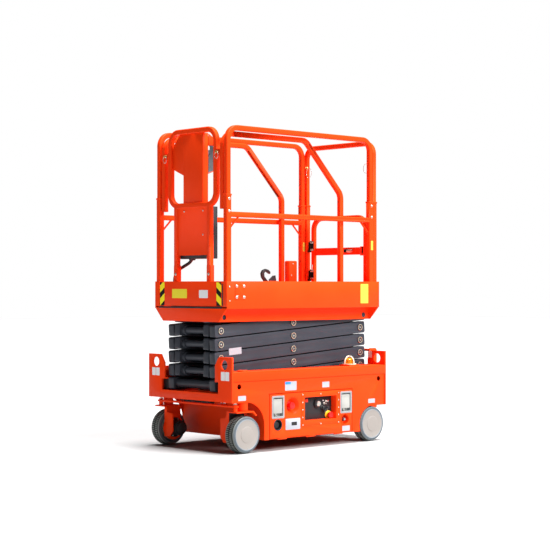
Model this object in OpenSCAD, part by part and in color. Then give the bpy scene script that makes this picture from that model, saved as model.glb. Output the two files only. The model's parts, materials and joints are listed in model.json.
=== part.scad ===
// Compact electric slab scissor lift, stowed, with its extension deck in.
// +X is forward (steered end), +Y is the side with the ground controls, Z is up.

/* [Chassis] */
// Length over the front and rear end plates
chassis_l = 1370; // [1320:5:1420]
// Width over the end plates and beam ledges
chassis_w = 810; // [790:2:830]
// How far the beam ledge stands out from the skirt
ledge_proud = 7; // [3:1:10]
// Thickness of the front and rear end plates
plate_t = 10; // [8:1:20]
// Thickness of the skirt and belly plates
skirt_t = 6; // [4:1:8]
// Height of the skirt edge above the floor
skirt_z = 71; // [60:1:80]
// Height of the underside of the side beams
beam_z = 357; // [352:1:360]
// Height of the side beams
beam_h = 143; // [138:1:150]
// Height of the lifting ears above the beams
ear_h = 92; // [80:1:110]
// Radius of the lifting and tie-down holes
lug_r = 30; // [20:1:34]
// How far the entry ladder stands out behind the rear plate
ladder_reach = 70; // [60:1:90]

/* [Wheels] */
// Tyre radius
wheel_r = 115; // [110:1:118]
// Tyre width
wheel_w = 80; // [70:1:84]
// Distance of the front axle ahead of the scissor centre
front_axle_x = 560; // [550:1:570]
// Distance of the rear axle behind the scissor centre
rear_axle_x = 556; // [545:1:565]
// Radius of the kingpins
kingpin_r = 18; // [14:1:20]
// Length of the steering arms, from kingpin to tie bar pin
steer_arm = 60; // [58:1:64]

/* [Scissor] */
// Half of the distance between the end pins, stowed
pin_x = 620; // [600:1:625]
// Height of the lowest pins
first_pin_z = 411; // [408:1:413]
// Rise from one pin level to the next, stowed
stage_rise = 84.2; // [82:0.2:86]
// Height of an arm
arm_h = 76; // [68:1:78]
// Thickness of an arm
arm_t = 50; // [44:1:52]
// How far an arm runs on past its end pins
arm_end = 47; // [40:1:48]
// Radius of the pivot pins
pin_r = 16; // [12:1:18]
// Running clearance round pins and shafts
run_gap = 0.3; // [0.2:0.05:0.5]
// Distance of the lift cylinder's anchors from the arm's middle
lift_anchor = 430; // [420:5:470]
// Radius of the lift cylinder's barrel
barrel_r = 55; // [45:1:60]
// Radius of the lift cylinder's rod
lift_rod_r = 32; // [25:1:38]

/* [Platform] */
// Length of the platform
platform_l = 1356; // [1330:2:1370]
// Width of the platform
platform_w = 700; // [680:2:720]
// Thickness of the toe boards
toe_t = 5; // [3:1:6]
// Height of the lower edge of the toe boards
toe_z = 885; // [882:1:888]
// Height of the toe boards
toe_h = 170; // [150:1:180]
// Depth of the underframe below the toe boards
underframe_h = 81; // [79:1:84]

/* [Guard rails] */
// Height of the top rail's upper face
rail_top = 2014; // [1950:2:2040]
// Width of the rail tubes
rail_tube = 33; // [28:1:34]
// Width of the lower post tubes
post_tube = 38; // [36:1:40]
// Corner radius of the tubes' cross-section
tube_round = 7; // [4:1:10]
// Radius of the tube bends, at the middle of the tube
bend_r = 75; // [60:1:85]
// Height of the mid rail
mid_rail_z = 1465; // [1420:5:1500]
// Height of the top of the lower posts
post_top = 1590; // [1540:5:1640]
// Height of the front loop
loop_h = 483; // [460:1:500]

/* [Hidden] */
$fn = 48;

orange = [1.0, 0.30, 0.07];
arm_grey = [0.17, 0.19, 0.22];
steel = [0.75, 0.75, 0.72];
black = [0.07, 0.07, 0.08];
cream = [0.86, 0.83, 0.77];
tyre_grey = [0.42, 0.43, 0.42];

move_gap = 5;
half_l = chassis_l / 2;
half_w = chassis_w / 2;
skirt_y = half_w - ledge_proud;
plate_x = half_l - plate_t;
beam_top = beam_z + beam_h;
x_shift = ladder_reach / 2;

stages = 5;
arm_pins = sqrt(pow(2 * pin_x, 2) + pow(stage_rise, 2));
arm_angle = atan(stage_rise / (2 * pin_x));
inner_y = 140;
outer_y = inner_y + arm_t + 10;
arm_side = outer_y + arm_t / 2;
ear_inner = arm_side + 20;
pin_head = 4;
channel_y = arm_side + 11;
channel_low = beam_z + 8;
channel_high = first_pin_z + 25;
channel_web = channel_y + 56;

wheel_y = skirt_y + 2 - wheel_w / 2;
shaft_r = 20;
front_wall_x = front_axle_x - 149;
rear_wall_x = rear_axle_x - 116;
door_front = 372;
door_rear = 369;
beacon_x = -410;
beacon_y = half_w - 75;
beacon_pad = 46;
beacon_z = beam_top + 10;

knuckle_z = 250;
kingpin_tube_z = 262;
tie_z = 283;
tie_t = 10;
steer_x = front_axle_x - 15;
steer_z = 308;
steer_eye_y = 170;

floor_top = toe_z + 12;
floor_t = 4;
half_pl = platform_l / 2;
half_pw = platform_w / 2;
toe_top = toe_z + toe_h;
under_z = toe_z - underframe_h;
upper_pin_z = first_pin_z + stages * stage_rise;
track_y = channel_y - 2;
track_face = track_y + 26;
rail_y = half_pw - toe_t - post_tube / 2;
front_post_x = half_pl - 24;
rear_post_x = half_pl - 68;
rear_rail_x = rear_post_x + post_tube + 4;
rear_rail_y = rail_y - 8;
hoop_top = rail_top - rail_tube / 2;
rear_drop = 14;
hoop_bend = min(bend_r, (hoop_top - rear_drop - post_top) / 2);
clamp_z = post_top + 0.78 * (hoop_top - hoop_bend - post_top);
front_clamp_z = rail_top - 164;
clamp_half = 20;

ext_half = rail_y - post_tube / 2 - move_gap;
ext_strip_t = 3;
ext_y = ext_half - ext_strip_t - rail_tube / 2;
ext_floor = floor_top + 3;
ext_deck = ext_floor + 5;
ext_panel_x = half_pl - 10;
ext_rail_x = ext_panel_x - rail_tube / 2 - 1.5;
ext_rear_x = -375;
clamp_gap = 29.5;
loop_y = ext_y - rail_tube - clamp_gap;
loop_low = rail_top - loop_h;
post_y = loop_y - 60;
column_y = post_y - 65;
column_depth = 40;
front_panel_low = (ext_deck + loop_low) / 2;
gate_axis_y = rear_rail_y - post_tube / 2 - 16;

// A box between two corners
module block(low, high) {
  translate(low) cube(high - low);
}

// A round bar along Y
module bar_y(x, z, r, y0, y1) {
  translate([x, y0, z]) rotate([-90, 0, 0]) cylinder(h = y1 - y0, r = r);
}

// A shape and its mirror image on the other side
module both_sides() {
  children();
  mirror([0, 1, 0]) children();
}

// A plate with its outline in X and Z, reaching t inwards from the plane y
module plate_xz(y, t) {
  translate([0, y, 0]) rotate([90, 0, 0]) linear_extrude(t) children();
}

// A plate with its outline in Y and Z, reaching t forwards from the plane x
module plate_yz(x, t) {
  translate([x, 0, 0]) rotate([90, 0, 90]) linear_extrude(t) children();
}

// A rounded rectangle, centred
module round_rect(w, h, r) {
  square([w - 2 * r, h], center = true);
  square([w, h - 2 * r], center = true);
  for (sx = [-1, 1], sy = [-1, 1]) translate([sx * (w / 2 - r), sy * (h / 2 - r)]) circle(r);
}

// The cross-section of a square tube
module tube_section(w) {
  round_rect(w, w, tube_round);
}

// Direction of travel between two points, in degrees
function heading(a, b) = atan2(b[1] - a[1], b[0] - a[0]);
// A turn brought into the range -180 to 180 degrees
function turn(a, b) = let (d = b - a) d > 180 ? d - 360 : d < -180 ? d + 360 : d;
// Turn at the middle one of three points
function corner(a, b, c) = turn(heading(a, b), heading(b, c));
// Length that a bend takes off each leg
function setback(a, b, c, r) = r * tan(abs(corner(a, b, c)) / 2);

// A tube bent in the XY plane along points, open or closed into a loop
module bent_tube(points, r, closed = false) {
  n = len(points);
  legs = closed ? n : n - 1;
  for (i = [0 : legs - 1]) {
    a = points[i];
    b = points[(i + 1) % n];
    before = points[(i + n - 1) % n];
    after = points[(i + 2) % n];
    dir = heading(a, b);
    cut_a = (i > 0 || closed) ? setback(before, a, b, r) : 0;
    cut_b = (i < legs - 1 || closed) ? setback(a, b, after, r) : 0;
    translate([a[0], a[1], 0]) rotate([0, 0, dir]) translate([cut_a, 0, 0])
      rotate([90, 0, 90]) linear_extrude(norm(b - a) - cut_a - cut_b) children();
    if (i < legs - 1 || closed) {
      bend = corner(a, b, after);
      side = bend > 0 ? 1 : -1;
      start = b - cut_b * [cos(dir), sin(dir)];
      centre = start + side * r * [-sin(dir), cos(dir)];
      first = bend > 0 ? dir - 90 : dir + 90 + bend;
      translate([centre[0], centre[1], 0]) rotate([0, 0, first])
        rotate_extrude(angle = abs(bend)) translate([r, 0]) children();
    }
  }
}

// The same, standing in the XZ plane at y
module bent_tube_xz(y, points, r, closed = false) {
  translate([0, y, 0]) rotate([90, 0, 0]) bent_tube(points, r, closed) children();
}

// The same, standing in the YZ plane at x
module bent_tube_yz(x, points, r, closed = false) {
  translate([x, 0, 0]) rotate([90, 0, 90]) bent_tube(points, r, closed) children();
}

// Outline of one side's skirt: open ahead of the front wheel, arched over both wheels
module skirt_outline() {
  front_arch_r = 148;
  front_arch_z = wheel_r + 50;
  rear_arch_r = wheel_r + move_gap;
  difference() {
    translate([-plate_x, skirt_z]) square([2 * plate_x, beam_top - 10 - skirt_z]);
    translate([front_axle_x, front_arch_z]) circle(front_arch_r);
    translate([front_axle_x - front_arch_r, 0]) square([half_l, front_arch_z]);
    translate([front_axle_x, 0]) square([half_l, front_arch_z + front_arch_r]);
    translate([-rear_axle_x, wheel_r]) circle(rear_arch_r);
    translate([-half_l - rear_axle_x, 0]) square([half_l, wheel_r + rear_arch_r]);
    translate([-door_rear, 0]) square([door_front + door_rear, beam_z]);
  }
}

// Side beams: skirt, proud ledge, top flange and the inner channel the slide blocks run in
module side_beams() {
  ledge_z = beam_top - 57;
  flange_t = 8;
  hole_r = 16.5;
  cap_r = 32;
  cap_h = 9;
  pivot_x0 = -plate_x + 5;
  pivot_x1 = -pin_x + 40;
  color(orange) block([beacon_x - beacon_pad, beacon_y - beacon_pad, beam_top - 1],
                      [beacon_x + beacon_pad, beacon_y + beacon_pad, beacon_z]);
  color(orange) both_sides() difference() {
    union() {
      translate([front_axle_x, wheel_y, beam_top - 1]) cylinder(h = cap_h + 1, r = cap_r);
      plate_xz(skirt_y, skirt_t) skirt_outline();
      block([-plate_x, skirt_y - skirt_t, ledge_z], [plate_x, half_w, beam_top]);
      block([-plate_x, ear_inner, beam_top - flange_t], [plate_x, half_w, beam_top]);
      block([-plate_x, channel_web, beam_z], [plate_x, channel_web + flange_t, beam_top]);
      block([-plate_x, channel_y, beam_z], [plate_x, skirt_y, channel_low]);
      block([-plate_x, channel_y, channel_high], [plate_x, channel_web + 1, channel_high + flange_t]);
      block([pivot_x0, channel_y, beam_z], [pivot_x1, channel_web + 1, channel_high + flange_t]);
    }
    for (x = [-pin_x, pin_x]) bar_y(x, first_pin_z, hole_r, channel_web + flange_t + 1, half_w + 1);
    bar_y(-pin_x, first_pin_z, pin_r + run_gap, channel_y - 1, channel_web + flange_t + 1);
  }
}

// Outline of an end plate: lifting ears beside the scissor's opening, which is wider by slot at its foot
module end_plate_outline(low, slot) {
  ear_top = beam_top + ear_h;
  ear_flat = ear_inner + 35;
  ear_bevel = 53;
  slot_y = ear_inner + slot;
  polygon([
    [-half_w, low], [half_w, low], [half_w, ear_top], [ear_flat, ear_top],
    [ear_inner, ear_top - ear_bevel], if (slot > 0) [ear_inner, channel_high],
    if (slot > 0) [slot_y, channel_high], [slot_y, channel_low],
    [-slot_y, channel_low], if (slot > 0) [-slot_y, channel_high],
    if (slot > 0) [-ear_inner, channel_high], [-ear_inner, ear_top - ear_bevel],
    [-ear_flat, ear_top], [-half_w, ear_top]
  ]);
}

// An end plate with its lifting holes drilled
module end_plate(x, low, slot) {
  lug_y = (ear_inner + half_w) / 2 + 6;
  lug_z = beam_top + 43;
  color(orange) difference() {
    plate_yz(x, plate_t) end_plate_outline(low, slot);
    for (s = [-1, 1]) translate([x - 1, s * lug_y, lug_z]) rotate([0, 90, 0])
      cylinder(h = plate_t + 2, r = lug_r);
  }
}

module front_plate() {
  end_plate(plate_x, beam_z - 42, 30);
}

module rear_plate() {
  end_plate(-half_l, 2 * wheel_r + move_gap, 0);
}

hinge_z = skirt_z + 1;
hinge_y = skirt_y - 6;
hinge_xs = [-250, 0, 250];
hinge_len = 60;
hinge_r = 6;
hinge_pin_r = 3;

// Belly box between the skirts, with the door hinge pins and the rear stub axles
module lower_box() {
  inner = skirt_y - skirt_t;
  top = beam_z - 7;
  carrier_y = wheel_y - wheel_w / 2 - 20;
  tab = 14;
  bay_y = inner - move_gap;
  color(orange) {
    difference() {
      block([-rear_wall_x, -inner, skirt_z], [front_wall_x, inner, top]);
      block([-rear_wall_x + skirt_t, -inner - 1, skirt_z + skirt_t],
            [front_wall_x - skirt_t, inner + 1, top - skirt_t]);
      both_sides() {
        block([-door_rear, bay_y, skirt_z - 1], [door_front, inner + 1, beam_z]);
        for (x = hinge_xs)
          block([x - hinge_len / 2 - 1, hinge_y - hinge_r - 3, skirt_z - 1],
                [x + hinge_len / 2 + 1, inner + 1, skirt_z + skirt_t + 1]);
      }
    }
    both_sides() {
      for (x = hinge_xs) {
        block([x + hinge_len / 2 + 0.5, bay_y - 10, skirt_z],
              [x + hinge_len / 2 + tab, bay_y + 1, skirt_z + skirt_t]);
        block([x + hinge_len / 2 + 0.5, bay_y, hinge_z - hinge_r],
              [x + hinge_len / 2 + tab, hinge_y + 2.5, hinge_z]);
        translate([x + 5, hinge_y, hinge_z]) rotate([0, 90, 0]) cylinder(h = hinge_len / 2, r = hinge_pin_r);
      }
      plate_xz(carrier_y, 12) difference() {
        union() {
          translate([-plate_x, 2 * wheel_r]) square([plate_x - rear_wall_x, beam_z - 2 * wheel_r]);
          translate([-rear_axle_x - 70, wheel_r]) square([140, wheel_r + 1]);
          translate([-rear_axle_x, wheel_r]) circle(70);
          translate([-rear_axle_x, skirt_z + 20]) square([rear_axle_x - rear_wall_x, wheel_r]);
        }
      }
      bar_y(-rear_axle_x, wheel_r, 58, carrier_y - 1, carrier_y + 10);
      bar_y(-rear_axle_x, wheel_r, shaft_r, carrier_y - 1, wheel_y + wheel_w / 2 - 30);
    }
  }
}

// Front crossmember with the kingpin tubes hanging from it
module front_crossmember() {
  top = beam_z - 12;
  plate = 12;
  tube_r = 32;
  inner = skirt_y - skirt_t;
  color(orange) difference() {
    union() {
      block([front_wall_x + 70, -inner, top - plate], [plate_x, inner, top]);
      both_sides() {
        block([front_wall_x + 70, channel_web, top - 1], [plate_x, inner, beam_z]);
        translate([front_axle_x, wheel_y, kingpin_tube_z]) cylinder(h = beam_z - kingpin_tube_z, r = tube_r);
      }
      translate([steer_x, -222, steer_z + 16]) cylinder(h = top - plate - steer_z - 15, r = 14);
    }
    both_sides() translate([front_axle_x, wheel_y, kingpin_tube_z - 1])
      cylinder(h = beam_z - kingpin_tube_z - 5, r = kingpin_r + run_gap);
  }
}

// Entry ladder bolted to the rear plate
module entry_ladder() {
  stile_y = 250;
  stile_t = 6;
  low = 205;
  high = 606;
  steps = 4;
  first_step = 225;
  step_rise = 124.5;
  tread_t = 14;
  color(orange) {
    both_sides() plate_xz(stile_y + stile_t, stile_t) polygon([
      [-half_l, low + 60], [-half_l, high], [-half_l - ladder_reach + 12, high],
      [-half_l - ladder_reach, high - 12], [-half_l - ladder_reach, low],
      [-half_l - 20, low]
    ]);
    for (i = [0 : steps - 1]) {
      z = first_step + i * step_rise;
      block([-half_l - ladder_reach + 4, -stile_y, z - tread_t], [-half_l - 22, stile_y, z]);
    }
  }
}

// Batteries in the front of the belly box
module battery_pack() {
  floor_z = skirt_z + skirt_t;
  length = 255;
  width = 296;
  height = 230;
  gap = 8;
  front = front_wall_x - 16;
  color([0.2, 0.2, 0.22]) both_sides()
    block([front - length, gap / 2, floor_z], [front, gap / 2 + width, floor_z + height]);
}

// Hydraulic tank and pump behind the batteries
module hydraulic_unit() {
  floor_z = skirt_z + skirt_t;
  tank_rear = -rear_wall_x + 20;
  tank_front = tank_rear + 220;
  tank_h = 200;
  pump_y = -60;
  pump_r = 70;
  pump_len = 190;
  pump_z = floor_z + 90;
  foot = 30;
  color([0.25, 0.26, 0.28]) {
    block([tank_rear, pump_y - 190, floor_z], [tank_front, pump_y + 180, floor_z + tank_h]);
    translate([tank_front - 1, pump_y, pump_z]) rotate([0, 90, 0]) cylinder(h = pump_len, r = pump_r);
    block([tank_front + pump_len / 2 - foot, pump_y - foot, floor_z],
          [tank_front + pump_len / 2 + foot, pump_y + foot, pump_z - pump_r / 2]);
  }
}

module beacon_lens() {
  color([1.0, 0.62, 0.08]) translate([beacon_x, beacon_y, beacon_z]) rotate_extrude() polygon([
    [0, 0], [36, 0], [36, 6], [32, 8], [30, 32], [24, 38], [14, 42], [0, 43]
  ]);
}

// Wire hoops that protect the beacon
module beacon_guard() {
  hoop_r = 42;
  wire = 4;
  foot = 5;
  color(cream) translate([beacon_x, beacon_y, beacon_z]) {
    rotate_extrude() translate([hoop_r - wire, 0]) square([2 * wire, foot]);
    for (a = [0, 90]) rotate([90, 0, a]) {
      translate([0, 12, 0]) rotate_extrude(angle = 180) translate([hoop_r, 0]) circle(wire);
      for (s = [-1, 1]) translate([s * hoop_r, foot - 1, 0]) rotate([-90, 0, 0])
        cylinder(h = 13 - foot, r = wire);
    }
  }
}

// A belly door with its bottom hinge knuckles
module door_panel(cutouts) {
  panel_t = skirt_t;
  difference() {
    union() {
      plate_xz(skirt_y, panel_t) translate([-door_rear + move_gap, skirt_z + move_gap])
        square([door_front + door_rear - 2 * move_gap, beam_z - skirt_z - 2 * move_gap]);
      for (x = hinge_xs) {
        translate([x - hinge_len / 2, hinge_y, hinge_z]) rotate([0, 90, 0])
          cylinder(h = hinge_len, r = hinge_r);
        block([x - hinge_len / 2, hinge_y, hinge_z], [x + hinge_len / 2, skirt_y, skirt_z + move_gap + 4]);
      }
    }
    for (x = hinge_xs) translate([x - hinge_len, hinge_y, hinge_z]) rotate([0, 90, 0])
      cylinder(h = 2 * hinge_len, r = hinge_pin_r + run_gap);
    if (cutouts) {
      block([panel_x0, skirt_y - panel_t - 1, panel_z0], [panel_x1, skirt_y + 1, panel_z1]);
      bar_y(button_x, button_z, button_r, skirt_y - panel_t - 1, skirt_y + 1);
      bar_y(inlet_x, low_recess_z, inlet_r, skirt_y - panel_t - 1, skirt_y + 1);
      bar_y(valve_x, low_recess_z, valve_r, skirt_y - panel_t - 1, skirt_y + 1);
    }
    for (x = latch_xs) block([x - latch_w / 2 + 8, skirt_y - panel_t - 1, latch_z - latch_h / 2 + 8],
                             [x + latch_w / 2 - 8, skirt_y + 1, latch_z + latch_h / 2 - 8]);
  }
}

latch_xs = [-310, 296];
latch_z = 270;
latch_w = 107;
latch_h = 142;
panel_x0 = -236;
panel_x1 = 81;
panel_z0 = 148;
panel_z1 = 333;
button_x = 170;
button_z = 272;
button_r = 56;
inlet_x = 298;
valve_x = -301;
low_recess_z = 159;
inlet_r = 34;
valve_r = 37;

module door_left() {
  color(orange) door_panel(true);
}

module door_right() {
  color(orange) mirror([0, 1, 0]) door_panel(false);
}

// Flush paddle latch: dished tray, rim and paddle
module paddle_latch(x) {
  rim = 1.5;
  depth = 34;
  color(steel) difference() {
    union() {
      plate_xz(skirt_y + rim, rim) translate([x, latch_z]) round_rect(latch_w, latch_h, 8);
      plate_xz(skirt_y + 0.5, depth) translate([x, latch_z]) round_rect(latch_w - 18, latch_h - 18, 6);
    }
    plate_xz(skirt_y + rim + 1, depth - 4) translate([x, latch_z]) round_rect(latch_w - 26, latch_h - 26, 5);
  }
  color(cream) plate_xz(skirt_y - 2, depth - 5) translate([x, latch_z + 6])
    round_rect(latch_w - 34, latch_h - 52, 5);
}

module latches_left() {
  for (x = latch_xs) paddle_latch(x);
}

module latches_right() {
  mirror([0, 1, 0]) for (x = latch_xs) paddle_latch(x);
}

// Ground controls: recessed black panel, the big stop button's cone, inlet and valve cups
module ground_panel() {
  depth = 50;
  wall = 3;
  back = skirt_y - depth;
  color(black) {
    difference() {
      union() {
        block([panel_x0 + 1, back, panel_z0 + 1], [panel_x1 - 1, skirt_y, panel_z1 - 1]);
        block([panel_x0 - 9, skirt_y, panel_z0 - 9], [panel_x1 + 9, skirt_y + 2, panel_z1 + 9]);
      }
      block([panel_x0 + 16, back + wall, panel_z0 + 22], [panel_x1 - 16, skirt_y + 3, panel_z1 - 14]);
    }
    for (c = [[inlet_x, inlet_r], [valve_x, valve_r]]) difference() {
      union() {
        bar_y(c[0], low_recess_z, c[1] - 0.5, skirt_y - 40, skirt_y);
        bar_y(c[0], low_recess_z, c[1] + 2, skirt_y, skirt_y + 2);
      }
      bar_y(c[0], low_recess_z, c[1] - 4, skirt_y - 37, skirt_y + 3);
    }
    bar_y(valve_x, low_recess_z, 13, skirt_y - 38, skirt_y - 8);
    bar_y(inlet_x, low_recess_z, 20, skirt_y - 38, skirt_y - 10);
  }
  color(orange) difference() {
    bar_y(button_x, button_z, button_r - 0.5, skirt_y - 44, skirt_y);
    translate([button_x, skirt_y - 40, button_z]) rotate([-90, 0, 0])
      cylinder(h = 41, r1 = 26, r2 = button_r - 2);
  }
  color("red") {
    bar_y(button_x, button_z, 12, skirt_y - 41, skirt_y - 16);
    bar_y(button_x, button_z, 22, skirt_y - 18, skirt_y - 2);
  }
}

// Steering knuckle on the +Y side: kingpin, top plate, steering arm, motor plate, front guard
module knuckle() {
  plate = 8;
  top = knuckle_z + plate;
  arm_x = front_axle_x + steer_arm;
  inner = wheel_y - wheel_w / 2 - 6;
  guard_x = front_axle_x + 62;
  guard_in = inner - 82;
  guard_low = 62;
  rear_x = front_axle_x - 55;
  color(orange) {
    translate([front_axle_x, wheel_y, knuckle_z]) cylinder(h = beam_z - 12 - knuckle_z, r = kingpin_r);
    translate([front_axle_x, wheel_y, top - 1]) cylinder(h = kingpin_tube_z - top + 0.7, r = kingpin_r + 6);
    block([rear_x, inner - 10, knuckle_z], [arm_x + 20, wheel_y + 38, top]);
    plate_xz(wheel_y + 38, 76) polygon([
      [rear_x + 1, top], [rear_x + 1, knuckle_z], [rear_x - 24, knuckle_z - 24],
      [rear_x - 30, knuckle_z - 18],
      [rear_x - 4, top]
    ]);
    translate([arm_x, wheel_y, top - 1]) cylinder(h = tie_z - top + 0.7, r = 14);
    translate([arm_x, wheel_y, tie_z - 1]) cylinder(h = tie_t + 1.5, r = 8);
    translate([arm_x, wheel_y, tie_z + tie_t + 0.4]) cylinder(h = 8, r = 13);
    difference() {
      plate_xz(inner, 10) union() {
        translate([rear_x, wheel_r]) square([guard_x + plate - rear_x, knuckle_z - wheel_r + 1]);
        translate([front_axle_x, wheel_r]) circle(80);
      }
      bar_y(front_axle_x, wheel_r, shaft_r + 3, inner - 11, inner + 1);
    }
    plate_yz(guard_x, plate) polygon([
      [inner, knuckle_z + 1], [inner - 22, knuckle_z + 1], [inner - 28, knuckle_z - 34],
      [guard_in, knuckle_z - 40], [guard_in, guard_low + 34], [guard_in + 30, guard_low], [inner, guard_low]
    ]);
  }
}

module knuckle_left() {
  knuckle();
}

module knuckle_right() {
  mirror([0, 1, 0]) knuckle();
}

// Hub motor bolted to the inside of the knuckle
module drive_motor() {
  face = wheel_y - wheel_w / 2 - 16;
  color(black) {
    bar_y(front_axle_x, wheel_r, 62, face - 16, face);
    bar_y(front_axle_x, wheel_r, 48, face - 70, face - 15);
    bar_y(front_axle_x, wheel_r, 36, face - 90, face - 69);
    bar_y(front_axle_x, wheel_r, shaft_r, face - 1, wheel_y + wheel_w / 2 - 30);
  }
}

module drive_motor_left() {
  drive_motor();
}

module drive_motor_right() {
  mirror([0, 1, 0]) drive_motor();
}

hub_r = 86;

// Solid tyre about the Z axis, centred
module tyre() {
  shoulder = 12;
  side = wheel_w / 2;
  color(tyre_grey) rotate_extrude($fn = 96) {
    translate([hub_r, -side + 3]) square([wheel_r - hub_r - shoulder, wheel_w - 6]);
    translate([hub_r + 6, -side]) square([wheel_r - hub_r - shoulder - 6, wheel_w]);
    translate([hub_r, -side + shoulder]) square([wheel_r - hub_r, wheel_w - 2 * shoulder]);
    for (s = [-1, 1]) translate([wheel_r - shoulder, s * (side - shoulder)]) circle(shoulder);
  }
}

// Hub disc about the Z axis, outer face up, with a raised ring and the shaft's bore
module hub() {
  side = wheel_w / 2;
  color(cream) rotate_extrude($fn = 96) difference() {
    union() {
      translate([0, -side + 8]) square([hub_r - 0.1, wheel_w - 16]);
      translate([0, -side]) square([46, wheel_w - 10]);
      translate([hub_r - 12, 0]) square([11.9, side - 4]);
      translate([36, 0]) square([8, side - 5]);
      translate([0, 0]) square([34, side - 7]);
    }
    translate([0, -side - 1]) square([shaft_r + run_gap, wheel_w - 27]);
  }
}

// A wheel piece at its axle: front 1 or -1, left side 1 or right side -1
module at_wheel(front, side) {
  x = front > 0 ? front_axle_x : -rear_axle_x;
  translate([x, side * wheel_y, wheel_r]) rotate([-90 * side, 0, 0]) children();
}

// Tie bar between the steering arms, narrow where the kingpin tubes pass, with the rod's lug
module tie_bar() {
  pin_at = front_axle_x + steer_arm;
  front = pin_at + 23;
  neck = pin_at - 4;
  back = pin_at - 22;
  color(orange) translate([0, 0, tie_z]) linear_extrude(tie_t) difference() {
    union() {
      translate([neck, -wheel_y]) square([front - neck, 2 * wheel_y]);
      translate([back, -wheel_y + 90]) square([front - back, 2 * (wheel_y - 90)]);
      for (s = [-1, 1]) translate([pin_at, s * wheel_y]) circle(22);
      translate([steer_x, steer_eye_y - 20]) square([back - steer_x + 1, 40]);
      translate([steer_x, steer_eye_y]) circle(20);
    }
    for (s = [-1, 1]) translate([pin_at, s * wheel_y]) circle(8 + run_gap);
  }
}

steer_rod_r = 11;
steer_barrel_end = 60;

// Steering cylinder under the crossmember
module steer_barrel() {
  base_y = -222;
  r = 22;
  color(black) difference() {
    union() {
      bar_y(steer_x, steer_z, r, base_y + 18, steer_barrel_end);
      bar_y(steer_x, steer_z, r + 3, steer_barrel_end - 24, steer_barrel_end);
      translate([steer_x, base_y, steer_z - 16]) cylinder(h = 32, r = 20);
    }
    bar_y(steer_x, steer_z, steer_rod_r + run_gap, -150, steer_barrel_end + 1);
  }
}

module steer_rod() {
  color(steel) {
    bar_y(steer_x, steer_z, steer_rod_r, -60, steer_eye_y);
    translate([steer_x, steer_eye_y, tie_z + tie_t + 0.4]) cylinder(h = 30, r = 20);
    translate([steer_x, steer_eye_y, tie_z + tie_t + 29]) cylinder(h = 8, r = 12);
  }
}

// Height of an arm's middle pin, and of a pin level, stowed
function stage_mid(k) = first_pin_z + (k - 0.5) * stage_rise;

// Arm placed at its stage: inner arms rise to the front, outer arms to the rear
module at_stage(k, inner) {
  translate([0, 0, stage_mid(k)]) rotate([0, inner ? -arm_angle : arm_angle, 0]) children();
}

// One box-section bar of an arm, along X, with rounded ends
module arm_bar(y) {
  end_round = 12;
  plate_xz(y + arm_t / 2, arm_t) round_rect(arm_pins + 2 * arm_end, arm_h, end_round);
}

pin_stations = [-arm_pins / 2, 0, arm_pins / 2];
chassis_pin_end = channel_web;

// Inner arm: two bars joined by cross tubes, with the pins that carry the outer arms
module inner_arm(k) {
  tube_r = 21;
  collar_r = 30;
  collar_w = 25;
  face = inner_y - arm_t / 2;
  color(arm_grey) at_stage(k, true) {
    both_sides() {
      arm_bar(inner_y);
      for (s = [-1, 1]) bar_y(s * arm_pins / 2, 0, collar_r, face - collar_w, face + 1);
    }
    for (s = [-1, 1]) bar_y(s * arm_pins / 2, 0, tube_r, -face, face);
    if (k == 2) bar_y(lift_anchor, 0, 20, -face - 1, face + 1);
    if (k == 4) both_sides() {
      bar_y(-lift_anchor, 0, 26, eye_half + 0.5, face + 1);
      bar_y(-lift_anchor, 0, 46, eye_half + 0.5, eye_half + 14);
    }
  }
  color(steel) at_stage(k, true) both_sides() for (i = [0 : 2]) {
    s = pin_stations[i];
    to_chassis = k == 1 && i == 0;
    to_platform = k == stages && i == 2;
    tip = to_chassis ? chassis_pin_end : to_platform ? track_face - 8 : arm_side + pin_head;
    bar_y(s, 0, pin_r, inner_y, tip);
    if (!to_chassis && !to_platform) bar_y(s, 0, pin_r + 5, arm_side + 0.4, arm_side + pin_head);
  }
}

// Outer arm: two bars bored for the pins; the lowest has the axle, the top one its own pins
module outer_arm(k) {
  axle_r = 28;
  color(arm_grey) at_stage(k, false) both_sides() difference() {
    arm_bar(outer_y);
    for (i = [0 : 2]) {
      own_pin = (k == 1 && i == 2) || (k == stages && i == 0);
      if (!own_pin) bar_y(pin_stations[i], 0, pin_r + run_gap, arm_side - arm_t - 1, arm_side + 1);
    }
  }
  if (k == 1) at_stage(k, false) {
    color(arm_grey) bar_y(arm_pins / 2, 0, axle_r, -outer_y, outer_y);
    color(steel) bar_y(arm_pins / 2, 0, pin_r, -channel_web + 4, channel_web - 4);
  }
  if (k == stages) color(steel) at_stage(k, false) both_sides()
    bar_y(-arm_pins / 2, 0, pin_r, outer_y, track_face + 1);
}

module inner_arm_1() { inner_arm(1); }
module inner_arm_2() { inner_arm(2); }
module inner_arm_3() { inner_arm(3); }
module inner_arm_4() { inner_arm(4); }
module inner_arm_5() { inner_arm(5); }
module outer_arm_1() { outer_arm(1); }
module outer_arm_2() { outer_arm(2); }
module outer_arm_3() { outer_arm(3); }
module outer_arm_4() { outer_arm(4); }
module outer_arm_5() { outer_arm(5); }

slide_half = 35;
slide_gap = 0.4;

// Blocks on the lowest axle that run in the chassis channels
module lower_slide_blocks() {
  color(black) both_sides() difference() {
    block([pin_x - slide_half, channel_y + 3, channel_low + slide_gap],
          [pin_x + slide_half, channel_web - 2, channel_high - slide_gap]);
    bar_y(pin_x, first_pin_z, pin_r + run_gap, channel_y, channel_web);
  }
}

track_low = under_z + 8;
track_high = upper_pin_z + 30;

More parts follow.
